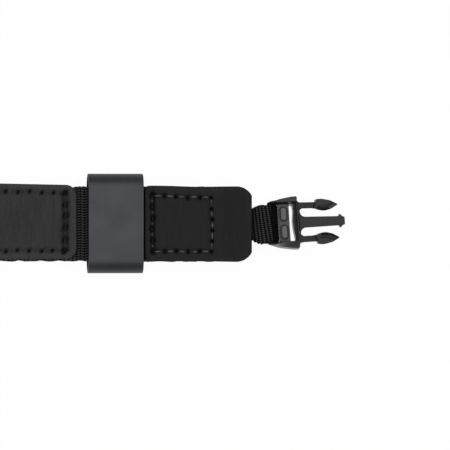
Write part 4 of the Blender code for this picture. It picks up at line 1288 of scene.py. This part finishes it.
# %% The recesses on the heads, and arms and tongue that stay upright
EDGE_NEAR = 2.93
EDGE_BEND = 0.11
EDGE_MIDDLE = 14.4
SCOOP_FROM = (12.3, 13.1)
SCOOP_TO = 15.6
SCOOP_IN = 0.42
SCOOP_WIDTH = 0.24
SCOOP_DEPTH = 0.8
STREAK_FROM = 12.6
STREAK_IN = 1.15
STREAK_WIDTH = 0.22
STREAK_DEPTH = 0.22
RUN_OUT = 0.6
UPRIGHT = np.tan(-BUCKLE_ROLL)

edge_in = np.abs(v) - (EDGE_NEAR + EDGE_BEND * (u - EDGE_MIDDLE) ** 2)
reach = np.where(v > 0, smooth((u - SCOOP_FROM[0]) / RUN_OUT) * smooth((SCOOP_TO - u) / RUN_OUT),
                 smooth((u - SCOOP_FROM[1]) / RUN_OUT))
scoop = np.exp(-((edge_in - SCOOP_IN) / SCOOP_WIDTH) ** 2) * reach
streak = np.exp(-((edge_in - STREAK_IN - 0.12 * (u - 14.0)) / STREAK_WIDTH) ** 2) * smooth((u - STREAK_FROM) / RUN_OUT)
w = w - ((w > HEAD_TOP - 0.5) & (u > HEAD[0] + 0.2)) * (SCOOP_DEPTH * scoop + STREAK_DEPTH * streak)
eased = smooth((u - CROSSBAR[1]) / 1.5)
v = v - (UPRIGHT * w + 0.75 * BUCKLE_LIE) * eased
print(f"recesses up to {scoop.max() * SCOOP_DEPTH:.1f} mm deep")

# %% Pale places, painted highlight and painted shade for the material, and the buckle put on its bar
PALE_TOP = 0.16
RING_SHADE = 0.75

# The raised grips are paler, with a painted shade in the ring round them, and the tops of the wings get a painted
# highlight.
light = on_keeper * (0.5 + 0.5 * smooth(oval / 0.2)) * (1.0 - RING_SHADE * np.exp(-((oval + 0.1) / 0.13) ** 2))
light = np.maximum(light, PALE_TOP * (np.abs(v) > OPENING + 0.3) * (w > WING_TOP - 0.3) * (u < CROSSBAR[1]))
keep(buckle.data, "light", light)
# Painted shade on the arms and on the lower wing's slope.
on_arm = smooth((u - CROSSBAR[1]) / 0.4) * (u < HEAD[0]) * (np.abs(v) > ARM[0] - 0.6)
on_slope = on_wing * smooth((u - 1.5) / 3.0) * smooth((np.abs(v) - OPENING - 0.45) / 0.2) * (w > 0.0)
keep(buckle.data, "painted_shading", np.maximum(on_arm, on_slope).astype(float))
buckle.data.vertices.foreach_set("co", (turned(u, v, w, np.ones(len(u))) * MM).ravel())
buckle.data.update()
pick(buckle)
bpy.ops.object.shade_smooth()
print("tip at", np.round(turned(np.array([TONGUE_END]), np.zeros(1), np.zeros(1), np.ones(1))[0], 2))

# %% [markdown]
# ## Buckle material: moulded acetal
# Acetal, or POM, is a hard slippery plastic with a satin surface from a spark-eroded mould. It is dyed
# through. The raised grips are paler, with a painted shade in the ring round them, and the wing tops get a
# painted highlight. The acetal mirrors the pale surroundings at a glancing angle, which draws the bright line
# along the wing's side. The arms and the wing's slope get a painted shade and look blacker.

# %% Moulded acetal
GRIP_GREY = "#58595B"
PAINTED_SHADE_BLACK = "#060606"
SPARKS_PER_METRE = 4500.0
FLOW_PER_METRE = 350.0

acetal, shader = new_material("moulded_acetal")
place = add_node(acetal, "TexCoord")
spark = add_node(acetal, "TexNoise", Vector=place.outputs["Object"], Scale=SPARKS_PER_METRE, Detail=2.0)
skin = add_node(acetal, "Bump", Height=spark, Strength=0.3, Distance=0.02 * MM)
flow = add_node(acetal, "TexNoise", Vector=place.outputs["Object"], Scale=FLOW_PER_METRE, Detail=3.0)
tone = add_node(acetal, "ValToRGB", _0=flow)
paint_ramp(tone, (0.3, "#161617"), (0.7, "#1E1E1F"))
polish = add_node(acetal, "MapRange", _0=flow, _1=0.3, _2=0.7, _3=0.24, _4=0.33)
# The light attribute makes the grips paler, with a painted shade in their ring, and gives the wing tops a painted
# highlight.
light = add_node(acetal, "Attribute", attribute_name="light")
pale = add_node(acetal, "MixRGB", _0=light.outputs["Fac"], _1=tone, _2=linear(GRIP_GREY))
# Painted shade: the arms and the lower wing's slope are darkened towards a near black.
painted_shading = add_node(acetal, "Attribute", attribute_name="painted_shading")
dark = add_node(acetal, "MixRGB", _0=painted_shading.outputs["Fac"], _1=pale, _2=linear(PAINTED_SHADE_BLACK))
link(acetal, shader, Base_Color=dark, Normal=skin, Roughness=polish)
shader.inputs["IOR"].default_value = 1.48
shader.inputs["Specular IOR Level"].default_value = 0.3
finish_piece(buckle, "buckle_moulding", acetal, "buckle", "buckle_plastic", "buckle")

# %% [markdown]
# ## Clearing up
# The dressed strap has to stay in the box of the imported model. The stitch that the seams were copied from is
# removed.

# %% Remove the stitch that the seams were copied from
bpy.data.objects.remove(stitch)
